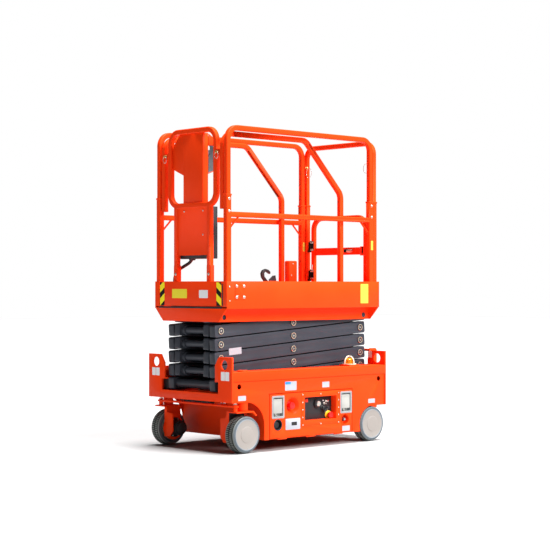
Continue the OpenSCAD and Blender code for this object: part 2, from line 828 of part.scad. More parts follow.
// Blocks on the top arms' front pins that run in the platform's tracks
module upper_slide_blocks() {
  color(black) both_sides() difference() {
    block([pin_x - slide_half, track_y + 2, track_low + slide_gap],
          [pin_x + slide_half, track_face - 7, track_high - slide_gap]);
    bar_y(pin_x, upper_pin_z, pin_r + run_gap, track_y, track_face);
  }
}

eye_half = lift_rod_r + 3;
// Line of the lift cylinder: from the second inner arm's front part to the fourth one's rear part
lift_run = 2 * lift_anchor;
lift_from = [lift_anchor * cos(arm_angle), stage_mid(2) + lift_anchor * sin(arm_angle)];
lift_rise = (2 * arm_pins - lift_run) * sin(arm_angle);
lift_len = sqrt(pow(lift_run * cos(arm_angle), 2) + pow(lift_rise, 2));
lift_angle = atan2(lift_rise, lift_run * cos(arm_angle));
barrel_len = 640;

// The cylinder's frame: its line along X from the base pin
module on_lift_line() {
  translate([lift_from[0], 0, lift_from[1]]) rotate([0, lift_angle, 0]) mirror([1, 0, 0]) children();
}

module lift_barrel() {
  base_pin_r = 20;
  color(arm_grey) on_lift_line() difference() {
    union() {
      translate([48, 0, 0]) rotate([0, 90, 0]) cylinder(h = barrel_len - 48, r = barrel_r);
      translate([barrel_len - 40, 0, 0]) rotate([0, 90, 0]) cylinder(h = 40, r = barrel_r + 6);
      bar_y(0, 0, 46, -40, 40);
      block([0, -40, -34], [60, 40, 34]);
    }
    bar_y(0, 0, base_pin_r + run_gap, -41, 41);
    translate([110, 0, 0]) rotate([0, 90, 0]) cylinder(h = barrel_len, r = lift_rod_r + run_gap);
  }
}

module lift_rod() {
  tail = 140;
  color(steel) on_lift_line() {
    translate([tail, 0, 0]) rotate([0, 90, 0]) cylinder(h = lift_len - tail - 20, r = lift_rod_r);
    bar_y(lift_len, 0, lift_rod_r + 6, -eye_half, eye_half);
  }
}

// Platform floor, its underframe with the slide tracks, and the end plates
module platform_deck() {
  end_t = 8;
  web_t = 6;
  low_half = half_pw - 80;
  cross_xs = [-250, 100];
  inside = half_pl - end_t;
  front_gap = 30;
  front_edge = toe_z + 4;
  rear_open = arm_side + 9;
  color(orange) difference() {
    union() {
      block([-inside, -half_pw + toe_t, floor_top - floor_t],
            [inside - front_gap, half_pw - toe_t, floor_top]);
      both_sides() {
        block([-inside, track_face - web_t, under_z], [inside, track_face, floor_top - 1]);
        block([-inside, track_y, under_z], [inside, track_face, track_low]);
        block([-inside, track_y, track_high], [inside, track_face, track_high + 6]);
        block([-pin_x - 35, track_y, under_z], [-pin_x + 40, track_face, track_high + 6]);
        block([-inside, track_face - 1, toe_z], [inside, half_pw - toe_t, toe_z + 4]);
      }
      for (x = cross_xs) block([x - 30, -track_face, floor_top - 34], [x + 30, track_face, floor_top - 1]);
      for (e = [[-half_pl, floor_top], [inside, front_edge]]) plate_yz(e[0], end_t) polygon([
        [-low_half, under_z], [low_half, under_z], [half_pw - toe_t, toe_z], [half_pw - toe_t, e[1]],
        [-half_pw + toe_t, e[1]], [-half_pw + toe_t, toe_z]
      ]);
    }
    block([-half_pl - 1, -rear_open, under_z - 1],
          [-inside + 1, rear_open, upper_pin_z + arm_end + move_gap]);
    both_sides() bar_y(-pin_x, upper_pin_z, pin_r + run_gap, track_y - 1, track_face + 1);
    both_sides() bar_y(pin_x, upper_pin_z, pin_r + run_gap, track_face - web_t - 1, track_face + 1);
  }
}

// Toe boards along both sides, turned in at the corners
module toe_boards() {
  front_in = rail_y - post_tube / 2 - 0.5;
  rear_in = rear_rail_y - post_tube / 2;
  color(orange) both_sides() {
    block([-half_pl, half_pw - toe_t, toe_z], [half_pl, half_pw, toe_top]);
    block([half_pl - toe_t, front_in, floor_top], [half_pl, half_pw - 1, toe_top]);
    block([-half_pl, rear_in, floor_top], [-half_pl + toe_t, half_pw - 1, toe_top]);
  }
}

// A straight post of square tube
module post(x, y, z0, z1, w) {
  translate([x, y, z0]) linear_extrude(z1 - z0) tube_section(w);
}

// Main side rail on +Y: lower posts, upper hoop, mid rail and corner braces
module side_rail() {
  brace_r = 6;
  brace = 70;
  color(orange) {
    for (x = [front_post_x, -rear_post_x]) post(x, rail_y, floor_top, post_top, post_tube);
    bent_tube_xz(rail_y, [
      [front_post_x, post_top - 1], [front_post_x, hoop_top], [-rear_post_x, hoop_top],
      [-rear_post_x, post_top - 1]
    ], hoop_bend) tube_section(rail_tube);
    translate([-rear_post_x, rail_y, mid_rail_z]) rotate([90, 0, 90])
      linear_extrude(front_post_x + rear_post_x) tube_section(rail_tube);
    for (e = [[front_post_x - post_tube / 2, -1], [-rear_post_x + post_tube / 2, 1]])
      translate([e[0] - 3 * e[1], rail_y, mid_rail_z - rail_tube / 2 - brace])
        rotate([0, 45 * e[1], 0]) cylinder(h = brace * sqrt(2) + 4, r = brace_r);
  }
}

module rail_left() {
  side_rail();
}

module rail_right() {
  mirror([0, 1, 0]) side_rail();
}

gate_hinge_zs = [1103, 1303];
gate_pin_r = 5;
gate_barrel_h = 60;
leaf_w = 34;
leaf_h = 66;
leaf_t = 5;

// Rear rail over the entry, its posts, the clamps to the side rails and the gate's hinge brackets
module rear_rail() {
  top = hoop_top - rear_drop;
  tab = 12;
  color(orange) {
    for (s = [-1, 1]) {
      post(-rear_rail_x, s * rear_rail_y, floor_top, post_top, post_tube);
      block([-rear_rail_x + rail_tube / 2 - 1, s * rear_rail_y - 12, clamp_z - clamp_half],
            [-rear_post_x - rail_tube / 2, s * rear_rail_y + 12, clamp_z + clamp_half]);
    }
    bent_tube_yz(-rear_rail_x, [
      [-rear_rail_y, post_top - 1], [-rear_rail_y, top], [rear_rail_y, top], [rear_rail_y, post_top - 1]
    ], hoop_bend) tube_section(rail_tube);
  }
  color(black) for (z = gate_hinge_zs) {
    low = z - gate_barrel_h / 2 - 0.4;
    translate([-rear_rail_x, -gate_axis_y, low - tab]) cylinder(h = tab, r = 11);
    translate([-rear_rail_x, -gate_axis_y, low - 1]) cylinder(h = gate_barrel_h + 10, r = gate_pin_r);
    block([-rear_rail_x - 9, -rear_rail_y, low - tab], [-rear_rail_x + 9, -gate_axis_y, low]);
  }
}

socket_x = -540;
socket_l = 80;
socket_w = 48;
socket_h = 303;

// Power socket box inside the right toe board
module socket_box() {
  back = -half_pw + toe_t;
  color(orange) block([socket_x, back, floor_top],
                      [socket_x + socket_l, back + socket_w, floor_top + socket_h]);
}

// Extension deck: floor on slide strips, low side strips and the front panel
module extension_deck() {
  panel_t = 8;
  color(orange) {
    block([ext_rear_x - 25, -ext_half, ext_floor], [ext_panel_x, ext_half, ext_deck]);
    block([ext_panel_x - 1, -ext_half, ext_floor], [ext_panel_x + panel_t, ext_half, toe_top]);
    both_sides() block([ext_rear_x - 25, ext_half - ext_strip_t, ext_deck - 1],
                       [ext_panel_x, ext_half, ext_deck + 60]);
  }
  color(black) {
    both_sides()
      block([ext_rear_x, ext_half - 60, floor_top + 0.4], [ext_panel_x - 60, ext_half - 25, ext_floor]);
    translate([cable_x, cable_to[0], ext_deck - 1]) cylinder(h = cable_to[1] - ext_deck + 1, r = 18);
  }
}

// Extension side rails: rear post, slope, top rail and the turned-down front end
module extension_rails() {
  top = rail_top - 34 - rail_tube / 2;
  slope_low = top - 335.5;
  slope_x = -50;
  open_end = top - 463.5;
  color(orange) both_sides() bent_tube_xz(ext_y, [
    [ext_rear_x, ext_deck], [ext_rear_x, slope_low], [slope_x, top], [ext_rail_x, top], [ext_rail_x, open_end]
  ], bend_r) tube_section(rail_tube);
}

// Front loop on two posts, with its lower panel and the clamps to the extension side rails
module front_rail() {
  sleeve = 250;
  panel_t = 5;
  color(orange) {
    bent_tube_yz(ext_rail_x, [
      [-loop_y, loop_low], [loop_y, loop_low], [loop_y, hoop_top], [-loop_y, hoop_top]
    ], bend_r, true) tube_section(rail_tube);
    both_sides() {
      post(ext_rail_x, post_y, ext_deck, loop_low, rail_tube);
      post(ext_rail_x - 2, post_y, ext_deck, ext_deck + sleeve, rail_tube + 4);
      block([ext_rail_x - 16, loop_y + rail_tube / 2 - 1, front_clamp_z - clamp_half],
            [ext_rail_x + 16, ext_y - rail_tube / 2, front_clamp_z + clamp_half]);
    }
    block([ext_rail_x + 2, -post_y, front_panel_low], [ext_rail_x + 2 + panel_t, post_y, loop_low - 10]);
  }
}

// Folded column between the loop's bottom and top tubes, with a gusset plate to the loop's right post
module control_column() {
  wall = 4;
  low = loop_low + rail_tube / 2;
  high = rail_top - rail_tube;
  back = ext_rail_x - column_depth;
  wing_y = loop_y - rail_tube / 2;
  wing_in = -column_y + wall / 2;
  color(orange) {
    difference() {
      block([back, -column_y, low], [ext_rail_x + wall, column_y, high]);
      block([back - 1, -column_y + wall, low - 1], [ext_rail_x, column_y - wall, high + 1]);
    }
    plate_yz(ext_rail_x - wall, wall) polygon([
      [-wing_y, high - 215], [wing_in, high - 261], [wing_in, high], [-column_y - 42, high],
      [-column_y - 95, high - 57], [-wing_y, high - 91]
    ]);
  }
}

// Platform control box: tilted grey case with a guard frame, in a sheet tray behind the column
module control_box() {
  front = ext_rail_x - column_depth;
  length = 150;
  case_h = 108;
  tilt = 58;
  low = rail_top - 284;
  guard_top = rail_top - 89;
  tray_t = 4;
  gusset_top = rail_top - rail_tube - 4;
  color(orange) {
    both_sides() plate_xz(column_y + tray_t, tray_t) polygon([
      [front, gusset_top], [front, guard_top - 20], [front - length + 20, guard_top - 20]
    ]);
    plate_xz(column_y + tray_t, 2 * (column_y + tray_t)) polygon([
      [front, low], [front - length, low + tilt], [front - length, low + tilt - tray_t], [front, low - tray_t]
    ]);
  }
  color([0.2, 0.22, 0.25]) {
    plate_xz(column_y, 2 * column_y) polygon([
      [front - 2, low - 1], [front - 2, low + case_h], [front - length, low + case_h + tilt],
      [front - length, low + tilt - 2]
    ]);
    both_sides() plate_xz(column_y, tray_t) difference() {
      polygon([
        [front - 15, low + case_h], [front - 15, guard_top], [front - length + 5, guard_top],
        [front - length + 5, low + case_h + tilt - 2]
      ]);
      translate([front - length + 30, low + case_h + tilt])
        square([length - 70, guard_top - low - case_h - tilt - 15]);
    }
    block([front - 27, -column_y, guard_top - 12], [front - 15, column_y, guard_top]);
  }
}

// Document box behind the lower panel
module manual_box() {
  back = ext_rail_x - rail_tube / 2;
  high = loop_low - 11;
  wall = 5;
  color(black) difference() {
    block([back - manual_depth, -post_y, manual_low], [back, post_y, high]);
    block([back - manual_depth + wall, -post_y + wall, manual_low + wall],
          [back - wall, post_y - wall, high + 1]);
  }
}

manual_depth = 45;
manual_low = front_panel_low - 22;
cable_r = 10;
cable_x = ext_rail_x - 42;
cable_from = [-62, manual_low];
cable_to = [44.5 - ext_y, ext_deck + 31];
// Points along the cable, each as its share of the way across and the way down
cable_route = [
  [0, 0], [0.085, 0.052], [0.149, 0.085], [0.222, 0.11], [0.385, 0.154], [0.547, 0.198], [0.71, 0.243],
  [0.807, 0.279], [0.889, 0.33], [0.95, 0.391], [0.989, 0.461], [1, 0.535], [1, 0.654], [1, 0.769],
  [1, 0.885], [1, 1]
];
cable_sides = 10;
cable_last = len(cable_route) - 1;

function cable_at(i) = [
  cable_from[0] + cable_route[i][0] * (cable_to[0] - cable_from[0]),
  cable_from[1] + cable_route[i][1] * (cable_to[1] - cable_from[1])
];
function cable_along(i) = i == 0 || i == cable_last ? [0, -1]
  : (cable_at(i + 1) - cable_at(i - 1)) / norm(cable_at(i + 1) - cable_at(i - 1));
function cable_ring(i) = [
  for (j = [0 : cable_sides - 1])
    let (a = 360 * j / cable_sides, t = cable_along(i), c = cable_at(i))
      [cable_x + cable_r * sin(a), c[0] - cable_r * cos(a) * t[1], c[1] + cable_r * cos(a) * t[0]]
];
function cable_skin(i, j) = let (
  a = i * cable_sides + j,
  b = i * cable_sides + (j + 1) % cable_sides
) [[a, b + cable_sides, b], [a, a + cable_sides, b + cable_sides]];

// Control cable in its own plane behind the posts, from the document box to the gland on the deck
module control_cable() {
  near_end = [for (j = [0 : cable_sides - 1]) j];
  far_end = [for (j = [1 : cable_sides]) (cable_last + 1) * cable_sides - j];
  skin = [
    for (i = [0 : cable_last - 1], j = [0 : cable_sides - 1], half = [0, 1]) cable_skin(i, j)[half]
  ];
  color(black) polyhedron(
    points = [for (i = [0 : cable_last]) each cable_ring(i)],
    faces = concat([near_end, far_end], skin)
  );
}

// Hooked handle that unlocks the extension deck, on its bracket inside the side strip
module lock_lever() {
  x = -280;
  y = -ext_half + 6;
  seat = ext_deck + 145;
  color(orange) block([x - 22, y, ext_deck], [x + 22, y + 12, seat]);
  color(black) {
    block([x - 65, y, seat - 1], [x + 65, y + 12, seat + 10]);
    plate_xz(y + 14, 16) polygon([
      [x + 30, seat + 9], [x + 62, seat + 9], [x + 84, seat + 34], [x + 90, seat + 60], [x + 78, seat + 82],
      [x + 52, seat + 92], [x + 26, seat + 86], [x + 8, seat + 70], [x + 11, seat + 57], [x + 24, seat + 62],
      [x + 40, seat + 72], [x + 56, seat + 72], [x + 66, seat + 62], [x + 64, seat + 42], [x + 50, seat + 26]
    ]);
    plate_xz(y + 10, 8) polygon([
      [x - 50, seat + 9], [x + 16, seat + 9], [x + 16, seat + 18], [x - 20, seat + 46], [x - 42, seat + 48]
    ]);
  }
}

// Entry gate: bent frame, flat bar, kick plate and latch
module gate_frame() {
  tube = 30;
  hinge_side = -gate_axis_y + 36;
  latch_side = rear_rail_y - post_tube / 2 - 46;
  low = ext_deck + 9;
  high = 1491;
  kick_top = toe_top - 5;
  bar_z = 1263;
  color(orange) {
    bent_tube_yz(-rear_rail_x, [
      [hinge_side, low], [hinge_side, high], [latch_side, high], [latch_side, low]
    ], bend_r) tube_section(tube);
    block([-rear_rail_x - 3, hinge_side, low], [-rear_rail_x + 3, latch_side, kick_top]);
    block([-rear_rail_x - 4, hinge_side, bar_z - 25], [-rear_rail_x + 4, latch_side, bar_z + 25]);
  }
  color(steel) block([-rear_rail_x - 10, latch_side, bar_z - 18],
                     [-rear_rail_x + 10, rear_rail_y - post_tube / 2 - move_gap, bar_z + 18]);
}

// Spring hinges of the gate
module gate_hinges() {
  tube = 30;
  hinge_side = -gate_axis_y + 36 - tube / 2;
  color(black) for (z = gate_hinge_zs) difference() {
    union() {
      translate([-rear_rail_x, -gate_axis_y, z - gate_barrel_h / 2]) cylinder(h = gate_barrel_h, r = 11);
      block([-rear_rail_x, hinge_side - 8, z - gate_barrel_h / 2],
            [-rear_rail_x + tube / 2 + leaf_t, hinge_side, z + gate_barrel_h / 2]);
      block([-rear_rail_x + tube / 2, hinge_side - 8, z - leaf_h / 2],
            [-rear_rail_x + tube / 2 + leaf_t, hinge_side + leaf_w - 4, z + leaf_h / 2]);
      block([-rear_rail_x - 8, -gate_axis_y, z - gate_barrel_h / 2],
            [-rear_rail_x + 8, hinge_side, z + gate_barrel_h / 2]);
    }
    translate([-rear_rail_x, -gate_axis_y, z - gate_barrel_h])
      cylinder(h = 2 * gate_barrel_h, r = gate_pin_r + run_gap);
  }
}

// The frame's origin is on the floor under the middle of the whole machine
module place() {
  translate([x_shift, 0, 0]) children();
}

place() side_beams();
place() front_plate();
place() rear_plate();
place() lower_box();
place() front_crossmember();
place() entry_ladder();
place() battery_pack();
place() hydraulic_unit();
place() beacon_lens();
place() beacon_guard();
place() door_left();
place() latches_left();
place() ground_panel();
place() door_right();
place() latches_right();
place() knuckle_left();
place() knuckle_right();
place() drive_motor_left();
place() drive_motor_right();
place() at_wheel(1, 1) tyre();  // tyre_front_left
place() at_wheel(1, -1) tyre();  // tyre_front_right
place() at_wheel(-1, 1) tyre();  // tyre_rear_left
place() at_wheel(-1, -1) tyre();  // tyre_rear_right
place() at_wheel(1, 1) hub();  // hub_front_left
place() at_wheel(1, -1) hub();  // hub_front_right
place() at_wheel(-1, 1) hub();  // hub_rear_left
place() at_wheel(-1, -1) hub();  // hub_rear_right
place() tie_bar();
place() steer_barrel();
place() steer_rod();
place() inner_arm_1();
place() inner_arm_2();
place() inner_arm_3();
place() inner_arm_4();
place() inner_arm_5();
place() outer_arm_1();
place() outer_arm_2();
place() outer_arm_3();
place() outer_arm_4();
place() outer_arm_5();
place() lower_slide_blocks();
place() upper_slide_blocks();
place() lift_barrel();
place() lift_rod();
place() platform_deck();
place() toe_boards();
place() rail_left();
place() rail_right();
place() rear_rail();
place() socket_box();
place() extension_deck();
place() extension_rails();
place() front_rail();
place() control_column();
place() control_box();
place() manual_box();
place() control_cable();
place() lock_lever();
place() gate_frame();
place() gate_hinges();
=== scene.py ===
import json
import math

import bpy
from mathutils import Matrix, Vector


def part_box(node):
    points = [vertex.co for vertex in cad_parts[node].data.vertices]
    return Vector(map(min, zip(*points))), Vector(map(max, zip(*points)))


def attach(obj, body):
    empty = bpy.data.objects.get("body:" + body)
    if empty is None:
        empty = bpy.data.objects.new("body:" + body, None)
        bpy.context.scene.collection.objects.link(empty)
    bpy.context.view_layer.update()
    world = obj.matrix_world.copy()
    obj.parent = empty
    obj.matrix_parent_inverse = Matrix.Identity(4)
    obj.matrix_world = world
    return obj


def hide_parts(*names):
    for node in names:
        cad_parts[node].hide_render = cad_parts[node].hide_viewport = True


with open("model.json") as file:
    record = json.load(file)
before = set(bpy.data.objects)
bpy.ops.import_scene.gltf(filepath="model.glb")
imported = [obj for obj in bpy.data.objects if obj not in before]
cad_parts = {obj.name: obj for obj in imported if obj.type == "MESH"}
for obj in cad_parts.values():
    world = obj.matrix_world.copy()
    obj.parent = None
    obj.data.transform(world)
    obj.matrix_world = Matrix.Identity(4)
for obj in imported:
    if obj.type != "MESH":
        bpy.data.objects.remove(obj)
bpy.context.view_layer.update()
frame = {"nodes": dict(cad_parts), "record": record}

# Camera, a long lens set level at chest height, far off the front left corner.
# Its picture is shifted up a little, so that the uprights stay upright.
camera_data = bpy.data.cameras.new("camera")
camera_data.lens = 98.41
camera_data.sensor_width = 36.0
camera_data.shift_y = 0.019
camera_data.clip_end = 60.0
camera = bpy.data.objects.new("camera", camera_data)
camera.location = (6.7485, 7.2321, 1.0292)
camera_bearing = 46.92
camera.rotation_euler = (math.radians(90), 0.0, math.radians(camera_bearing + 90))
bpy.context.scene.collection.objects.link(camera)
bpy.context.scene.camera = camera

# Studio: a white room with a soft light straight overhead and a stronger one high on the machine's left.
# So the left side is very bright, the front a good deal darker, and a dark shadow stays under the belly.
bpy.context.scene.view_settings.view_transform = "Standard"
room_level = 0.10
world = bpy.data.worlds.new("studio")
world.use_nodes = True
bpy.context.scene.world = world
room = world.node_tree.nodes
wires = world.node_tree.links
backdrop = room.new("ShaderNodeBackground")
backdrop.inputs["Color"].default_value = (1.0, 1.0, 1.0, 1.0)
backdrop.inputs["Strength"].default_value = 1.0
room["Background"].inputs["Color"].default_value = (1.0, 1.0, 1.0, 1.0)
room["Background"].inputs["Strength"].default_value = room_level
seen_or_lit = room.new("ShaderNodeMixShader")
light_path = room.new("ShaderNodeLightPath")
wires.new(light_path.outputs["Is Camera Ray"], seen_or_lit.inputs["Fac"])
wires.new(room["Background"].outputs["Background"], seen_or_lit.inputs[1])
wires.new(backdrop.outputs["Background"], seen_or_lit.inputs[2])
wires.new(seen_or_lit.outputs["Shader"], room["World Output"].inputs["Surface"])
for light_name, light_level, light_spread, light_from in (
    ("overhead_light", 10.2, 18, (-0.08, 0.05, 1.0)),
    ("left_light", 6.2, 32, (-0.22, 0.78, 0.55)),
):
    light_data = bpy.data.lights.new(light_name, "SUN")
    light_data.energy = light_level
    light_data.angle = math.radians(light_spread)
    light = bpy.data.objects.new(light_name, light_data)
    light.rotation_euler = Vector(light_from).to_track_quat("Z", "Y").to_euler()
    bpy.context.scene.collection.objects.link(light)


def noise_between(nodes, links, coords, scale, detail, low, high):
    noise = nodes.new("ShaderNodeTexNoise")
    noise.inputs["Scale"].default_value = scale
    noise.inputs["Detail"].default_value = detail
    spread = nodes.new("ShaderNodeMapRange")
    spread.inputs["From Min"].default_value = 0.3
    spread.inputs["From Max"].default_value = 0.7
    spread.inputs["To Min"].default_value = low
    spread.inputs["To Max"].default_value = high
    links.new(coords.outputs["Object"], noise.inputs["Vector"])
    links.new(noise.outputs["Fac"], spread.inputs["Value"])
    return spread.outputs["Result"]


def mottled(name, light, dark, rough, grain, relief, metallic=0.0, specular=0.3, patch=4.0):
    material = bpy.data.materials.new(name)
    material.use_nodes = True
    nodes = material.node_tree.nodes
    links = material.node_tree.links
    shader = nodes["Principled BSDF"]
    shader.inputs["Metallic"].default_value = metallic
    shader.inputs["Specular IOR Level"].default_value = specular
    coords = nodes.new("ShaderNodeTexCoord")
    tint = nodes.new("ShaderNodeMix")
    tint.name = "tint"
    tint.data_type = "RGBA"
    tint.inputs["A"].default_value = (*dark, 1.0)
    tint.inputs["B"].default_value = (*light, 1.0)
    links.new(noise_between(nodes, links, coords, patch, 4.0, 0.0, 1.0), tint.inputs["Factor"])
    links.new(tint.outputs["Result"], shader.inputs["Base Color"])
    links.new(noise_between(nodes, links, coords, patch * 6, 3.0, *rough), shader.inputs["Roughness"])
    bump = nodes.new("ShaderNodeBump")
    bump.inputs["Strength"].default_value = 0.35
    bump.inputs["Distance"].default_value = relief
    links.new(noise_between(nodes, links, coords, grain, 2.0, 0.0, 1.0), bump.inputs["Height"])
    links.new(bump.outputs["Normal"], shader.inputs["Normal"])
    return material


floor_half = 30.0
bpy.ops.object.select_all(action="DESELECT")
bpy.ops.mesh.primitive_plane_add(size=2 * floor_half)
floor = bpy.context.object
floor.name = "floor"
pale_vinyl = mottled("pale_vinyl", (0.305, 0.305, 0.305), (0.30, 0.30, 0.30), (0.7, 0.8), 300, 0.0001,
                     specular=0.1)
floor.data.materials.append(pale_vinyl)

# Chassis: side beams, end plates with lifting ears, belly box and front crossmember, all folded and
# welded steel plate. They are powder-coated together in one bright orange with a fine orange-peel skin.
orange_paint = mottled("orange_paint", (0.93, 0.052, 0.0055), (0.88, 0.046, 0.0045), (0.34, 0.46), 700,
                       0.00015, specular=0.06)
crease = math.radians(35)
body_of = {}
for body_name, body_nodes in frame["record"]["behaviour"]["bodies"].items():
    for body_node in body_nodes:
        body_of[body_node] = body_name
slot_of = {subpart["node"]: subpart["material_slot"] for subpart in frame["record"]["subparts"]}
middle_x = (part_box("front_plate")[1].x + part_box("rear_plate")[0].x) / 2


def at(ahead, left, up):
    return Vector((middle_x + ahead, left, up))


def pick(piece):
    bpy.ops.object.select_all(action="DESELECT")
    piece.select_set(True)
    bpy.context.view_layer.objects.active = piece


def soften(piece, width, steps=2):
    pick(piece)
    if width > 0:
        bevel = piece.modifiers.new("eased_edges", "BEVEL")
        bevel.width = width
        bevel.segments = steps
        bevel.limit_method = "ANGLE"
        bevel.angle_limit = crease
        bevel.use_clamp_overlap = True
        bpy.ops.object.modifier_apply(modifier=bevel.name)
    bpy.ops.object.shade_smooth_by_angle(angle=crease)


def fit(piece, body, slot, *finishes):
    piece.data.materials.clear()
    for finish in finishes:
        piece.data.materials.append(finish)
    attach(piece, body)


def dress(node, ease, *finishes):
    piece = bpy.data.objects.new(node + "_dressed", frame["nodes"][node].data.copy())
    bpy.context.scene.collection.objects.link(piece)
    pick(piece)
    bpy.ops.object.mode_set(mode="EDIT")
    bpy.ops.mesh.select_all(action="SELECT")
    bpy.ops.mesh.remove_doubles(threshold=0.00002)
    bpy.ops.mesh.dissolve_limited(angle_limit=math.radians(0.5))
    bpy.ops.object.mode_set(mode="OBJECT")
    soften(piece, ease)
    fit(piece, body_of[node], slot_of[node], *finishes)
    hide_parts(node)
    return piece


for chassis_node in ("side_beams", "front_plate", "rear_plate", "lower_box", "front_crossmember"):
    dress(chassis_node, 0.0012, orange_paint)


def facing(place, normal, up=(0, 0, 1)):
    outward = Vector(normal).normalized()
    across = Vector(up).cross(outward).normalized()
    upward = outward.cross(across)
    turn = Matrix((across, upward, outward)).transposed().to_4x4()
    turn.translation = place
    return turn


# Blank labels: thin vinyl stickers with rounded corners on the beams, ears, arms and posts.
# They are bare white, silver, blue or yellow, and stand only a film's thickness off the paint.
film = 0.0005
label_white = mottled("label_white", (0.86, 0.87, 0.89), (0.79, 0.80, 0.82), (0.35, 0.5), 200, 0.00005)
label_silver = mottled("label_silver", (0.37, 0.38, 0.42), (0.34, 0.35, 0.39), (0.35, 0.5), 200, 0.00005)
label_blue = mottled("label_blue", (0.03, 0.24, 0.72), (0.02, 0.19, 0.62), (0.35, 0.5), 200, 0.00005)
label_yellow = mottled("label_yellow", (0.60, 0.50, 0.055), (0.54, 0.45, 0.045), (0.35, 0.5), 200, 0.00005)


def plate(name, width, height, thick, corner, place):
    bpy.ops.object.select_all(action="DESELECT")
    bpy.ops.mesh.primitive_plane_add(size=1)
    piece = bpy.context.object
    piece.name = name
    piece.data.transform(Matrix.Diagonal((width, height, 1, 1)))
    bpy.ops.object.mode_set(mode="EDIT")
    bpy.ops.mesh.select_all(action="SELECT")
    bpy.ops.mesh.bevel(offset=corner, segments=4, affect="VERTICES")
    bpy.ops.mesh.select_all(action="SELECT")
    bpy.ops.mesh.extrude_region_move(TRANSFORM_OT_translate={"value": (0, 0, thick)})
    bpy.ops.mesh.select_all(action="SELECT")
    bpy.ops.mesh.normals_make_consistent(inside=False)
    bpy.ops.object.mode_set(mode="OBJECT")
    piece.data.transform(place)
    return piece


skirt_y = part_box("door_left")[1].y
front_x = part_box("front_plate")[1].x - middle_x
ear_back_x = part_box("rear_plate")[1].x - middle_x
chassis_labels = (
    ("notice_label", at(0.187, skirt_y, 0.398), (0, 1, 0), 0.100, 0.056, label_silver),
    ("notice_strip", at(0.212, skirt_y + film, 0.417), (0, 1, 0), 0.049, 0.016, label_blue),
    ("white_beam_label", at(-0.124, skirt_y, 0.393), (0, 1, 0), 0.064, 0.036, label_silver),
    ("front_arch_label", at(0.598, skirt_y, 0.340), (0, 1, 0), 0.064, 0.030, label_silver),
    ("rear_arch_label", at(-0.552, skirt_y, 0.266), (0, 1, 0), 0.064, 0.028, label_silver),
    ("right_ear_label_a", at(front_x, -0.352, 0.479), (1, 0, 0), 0.036, 0.050, label_white),
    ("right_ear_label_b", at(front_x, -0.313, 0.479), (1, 0, 0), 0.036, 0.050, label_white),
    ("left_ear_label_a", at(front_x, 0.321, 0.475), (1, 0, 0), 0.036, 0.054, label_white),
    ("left_ear_label_b", at(front_x, 0.360, 0.475), (1, 0, 0), 0.036, 0.054, label_white),
    ("rear_ear_label", at(ear_back_x, 0.268, 0.566), (1, 0, 0), 0.036, 0.044, label_white),
)
for name, place, normal, width, height, finish in chassis_labels:
    label = plate(name, width, height, film, 0.004, facing(place, normal))
    fit(label, "chassis", "cream_wire", finish)

# Entry ladder: two bent steel stiles with four flat treads, bolted to the rear plate.
# It carries the same orange powder coat.
dress("entry_ladder", 0.0012, orange_paint)

# Batteries and hydraulic unit: black battery cases beside the grey steel tank with its pump motor.
# They stand on the belly floor behind the two doors.
battery_plastic = mottled("battery_plastic", (0.030, 0.030, 0.034), (0.020, 0.020, 0.023), (0.45, 0.6), 500,
                          0.0003)
tank_paint = mottled("tank_paint", (0.055, 0.060, 0.066), (0.040, 0.044, 0.050), (0.4, 0.55), 500, 0.0002)
dress("battery_pack", 0.006, battery_plastic)
dress("hydraulic_unit", 0.003, tank_paint)

# Beacon: a ribbed amber lens on its base, under two crossed hoops of cream-painted round bar.
# It stands on a welded pad on the left beam.
amber_plastic = mottled("amber_plastic", (0.95, 0.36, 0.012), (0.85, 0.27, 0.008), (0.08, 0.16), 200, 0.0001)
amber_plastic.node_tree.nodes["Principled BSDF"].inputs["Transmission Weight"].default_value = 0.25
cream_paint = mottled("cream_paint", (0.76, 0.70, 0.56), (0.68, 0.62, 0.48), (0.35, 0.45), 700, 0.0001)


def turned(name, profile, sides=32):
    foot_r, foot_z = profile[0]
    bpy.ops.object.select_all(action="DESELECT")
    bpy.ops.mesh.primitive_circle_add(vertices=sides, radius=foot_r, fill_type="NGON", location=(0, 0, 0))
    piece = bpy.context.object
    piece.name = name
    piece.data.transform(Matrix.Translation((0, 0, foot_z)))
    bpy.ops.object.mode_set(mode="EDIT")
    bpy.ops.mesh.select_all(action="SELECT")
    for (r0, z0), (r1, z1) in zip(profile, profile[1:]):
        bpy.ops.mesh.extrude_region_move(TRANSFORM_OT_translate={"value": (0, 0, z1 - z0)})
        if r1 != r0:
            bpy.ops.transform.resize(value=(r1 / r0, r1 / r0, 1), center_override=(0, 0, z1))
    bpy.ops.mesh.select_all(action="SELECT")
    bpy.ops.mesh.normals_make_consistent(inside=False)
    bpy.ops.object.mode_set(mode="OBJECT")
    bpy.ops.object.shade_smooth_by_angle(angle=crease)
    return piece


lens_low, lens_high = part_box("beacon_lens")
lens_r = (lens_high.x - lens_low.x) / 2
lens_h = lens_high.z - lens_low.z
lens_profile = [(lens_r, 0), (lens_r, 0.12 * lens_h)]
ribs = 5
for rib in range(ribs):
    rib_z = (0.16 + 0.13 * rib) * lens_h
    lens_profile += [(0.86 * lens_r, rib_z), (0.91 * lens_r, rib_z + 0.04 * lens_h),
                     (0.86 * lens_r, rib_z + 0.09 * lens_h)]
lens_profile += [(0.74 * lens_r, 0.88 * lens_h), (0.45 * lens_r, 0.97 * lens_h), (0.1 * lens_r, lens_h)]
lens = turned("beacon_lens_ribbed", lens_profile, 48)
lens_middle = (lens_low + lens_high) / 2
lens.data.transform(Matrix.Translation((lens_middle.x, lens_middle.y, lens_low.z)))
fit(lens, "chassis", "amber_lens", amber_plastic)
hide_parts("beacon_lens")
dress("beacon_guard", 0, cream_paint)

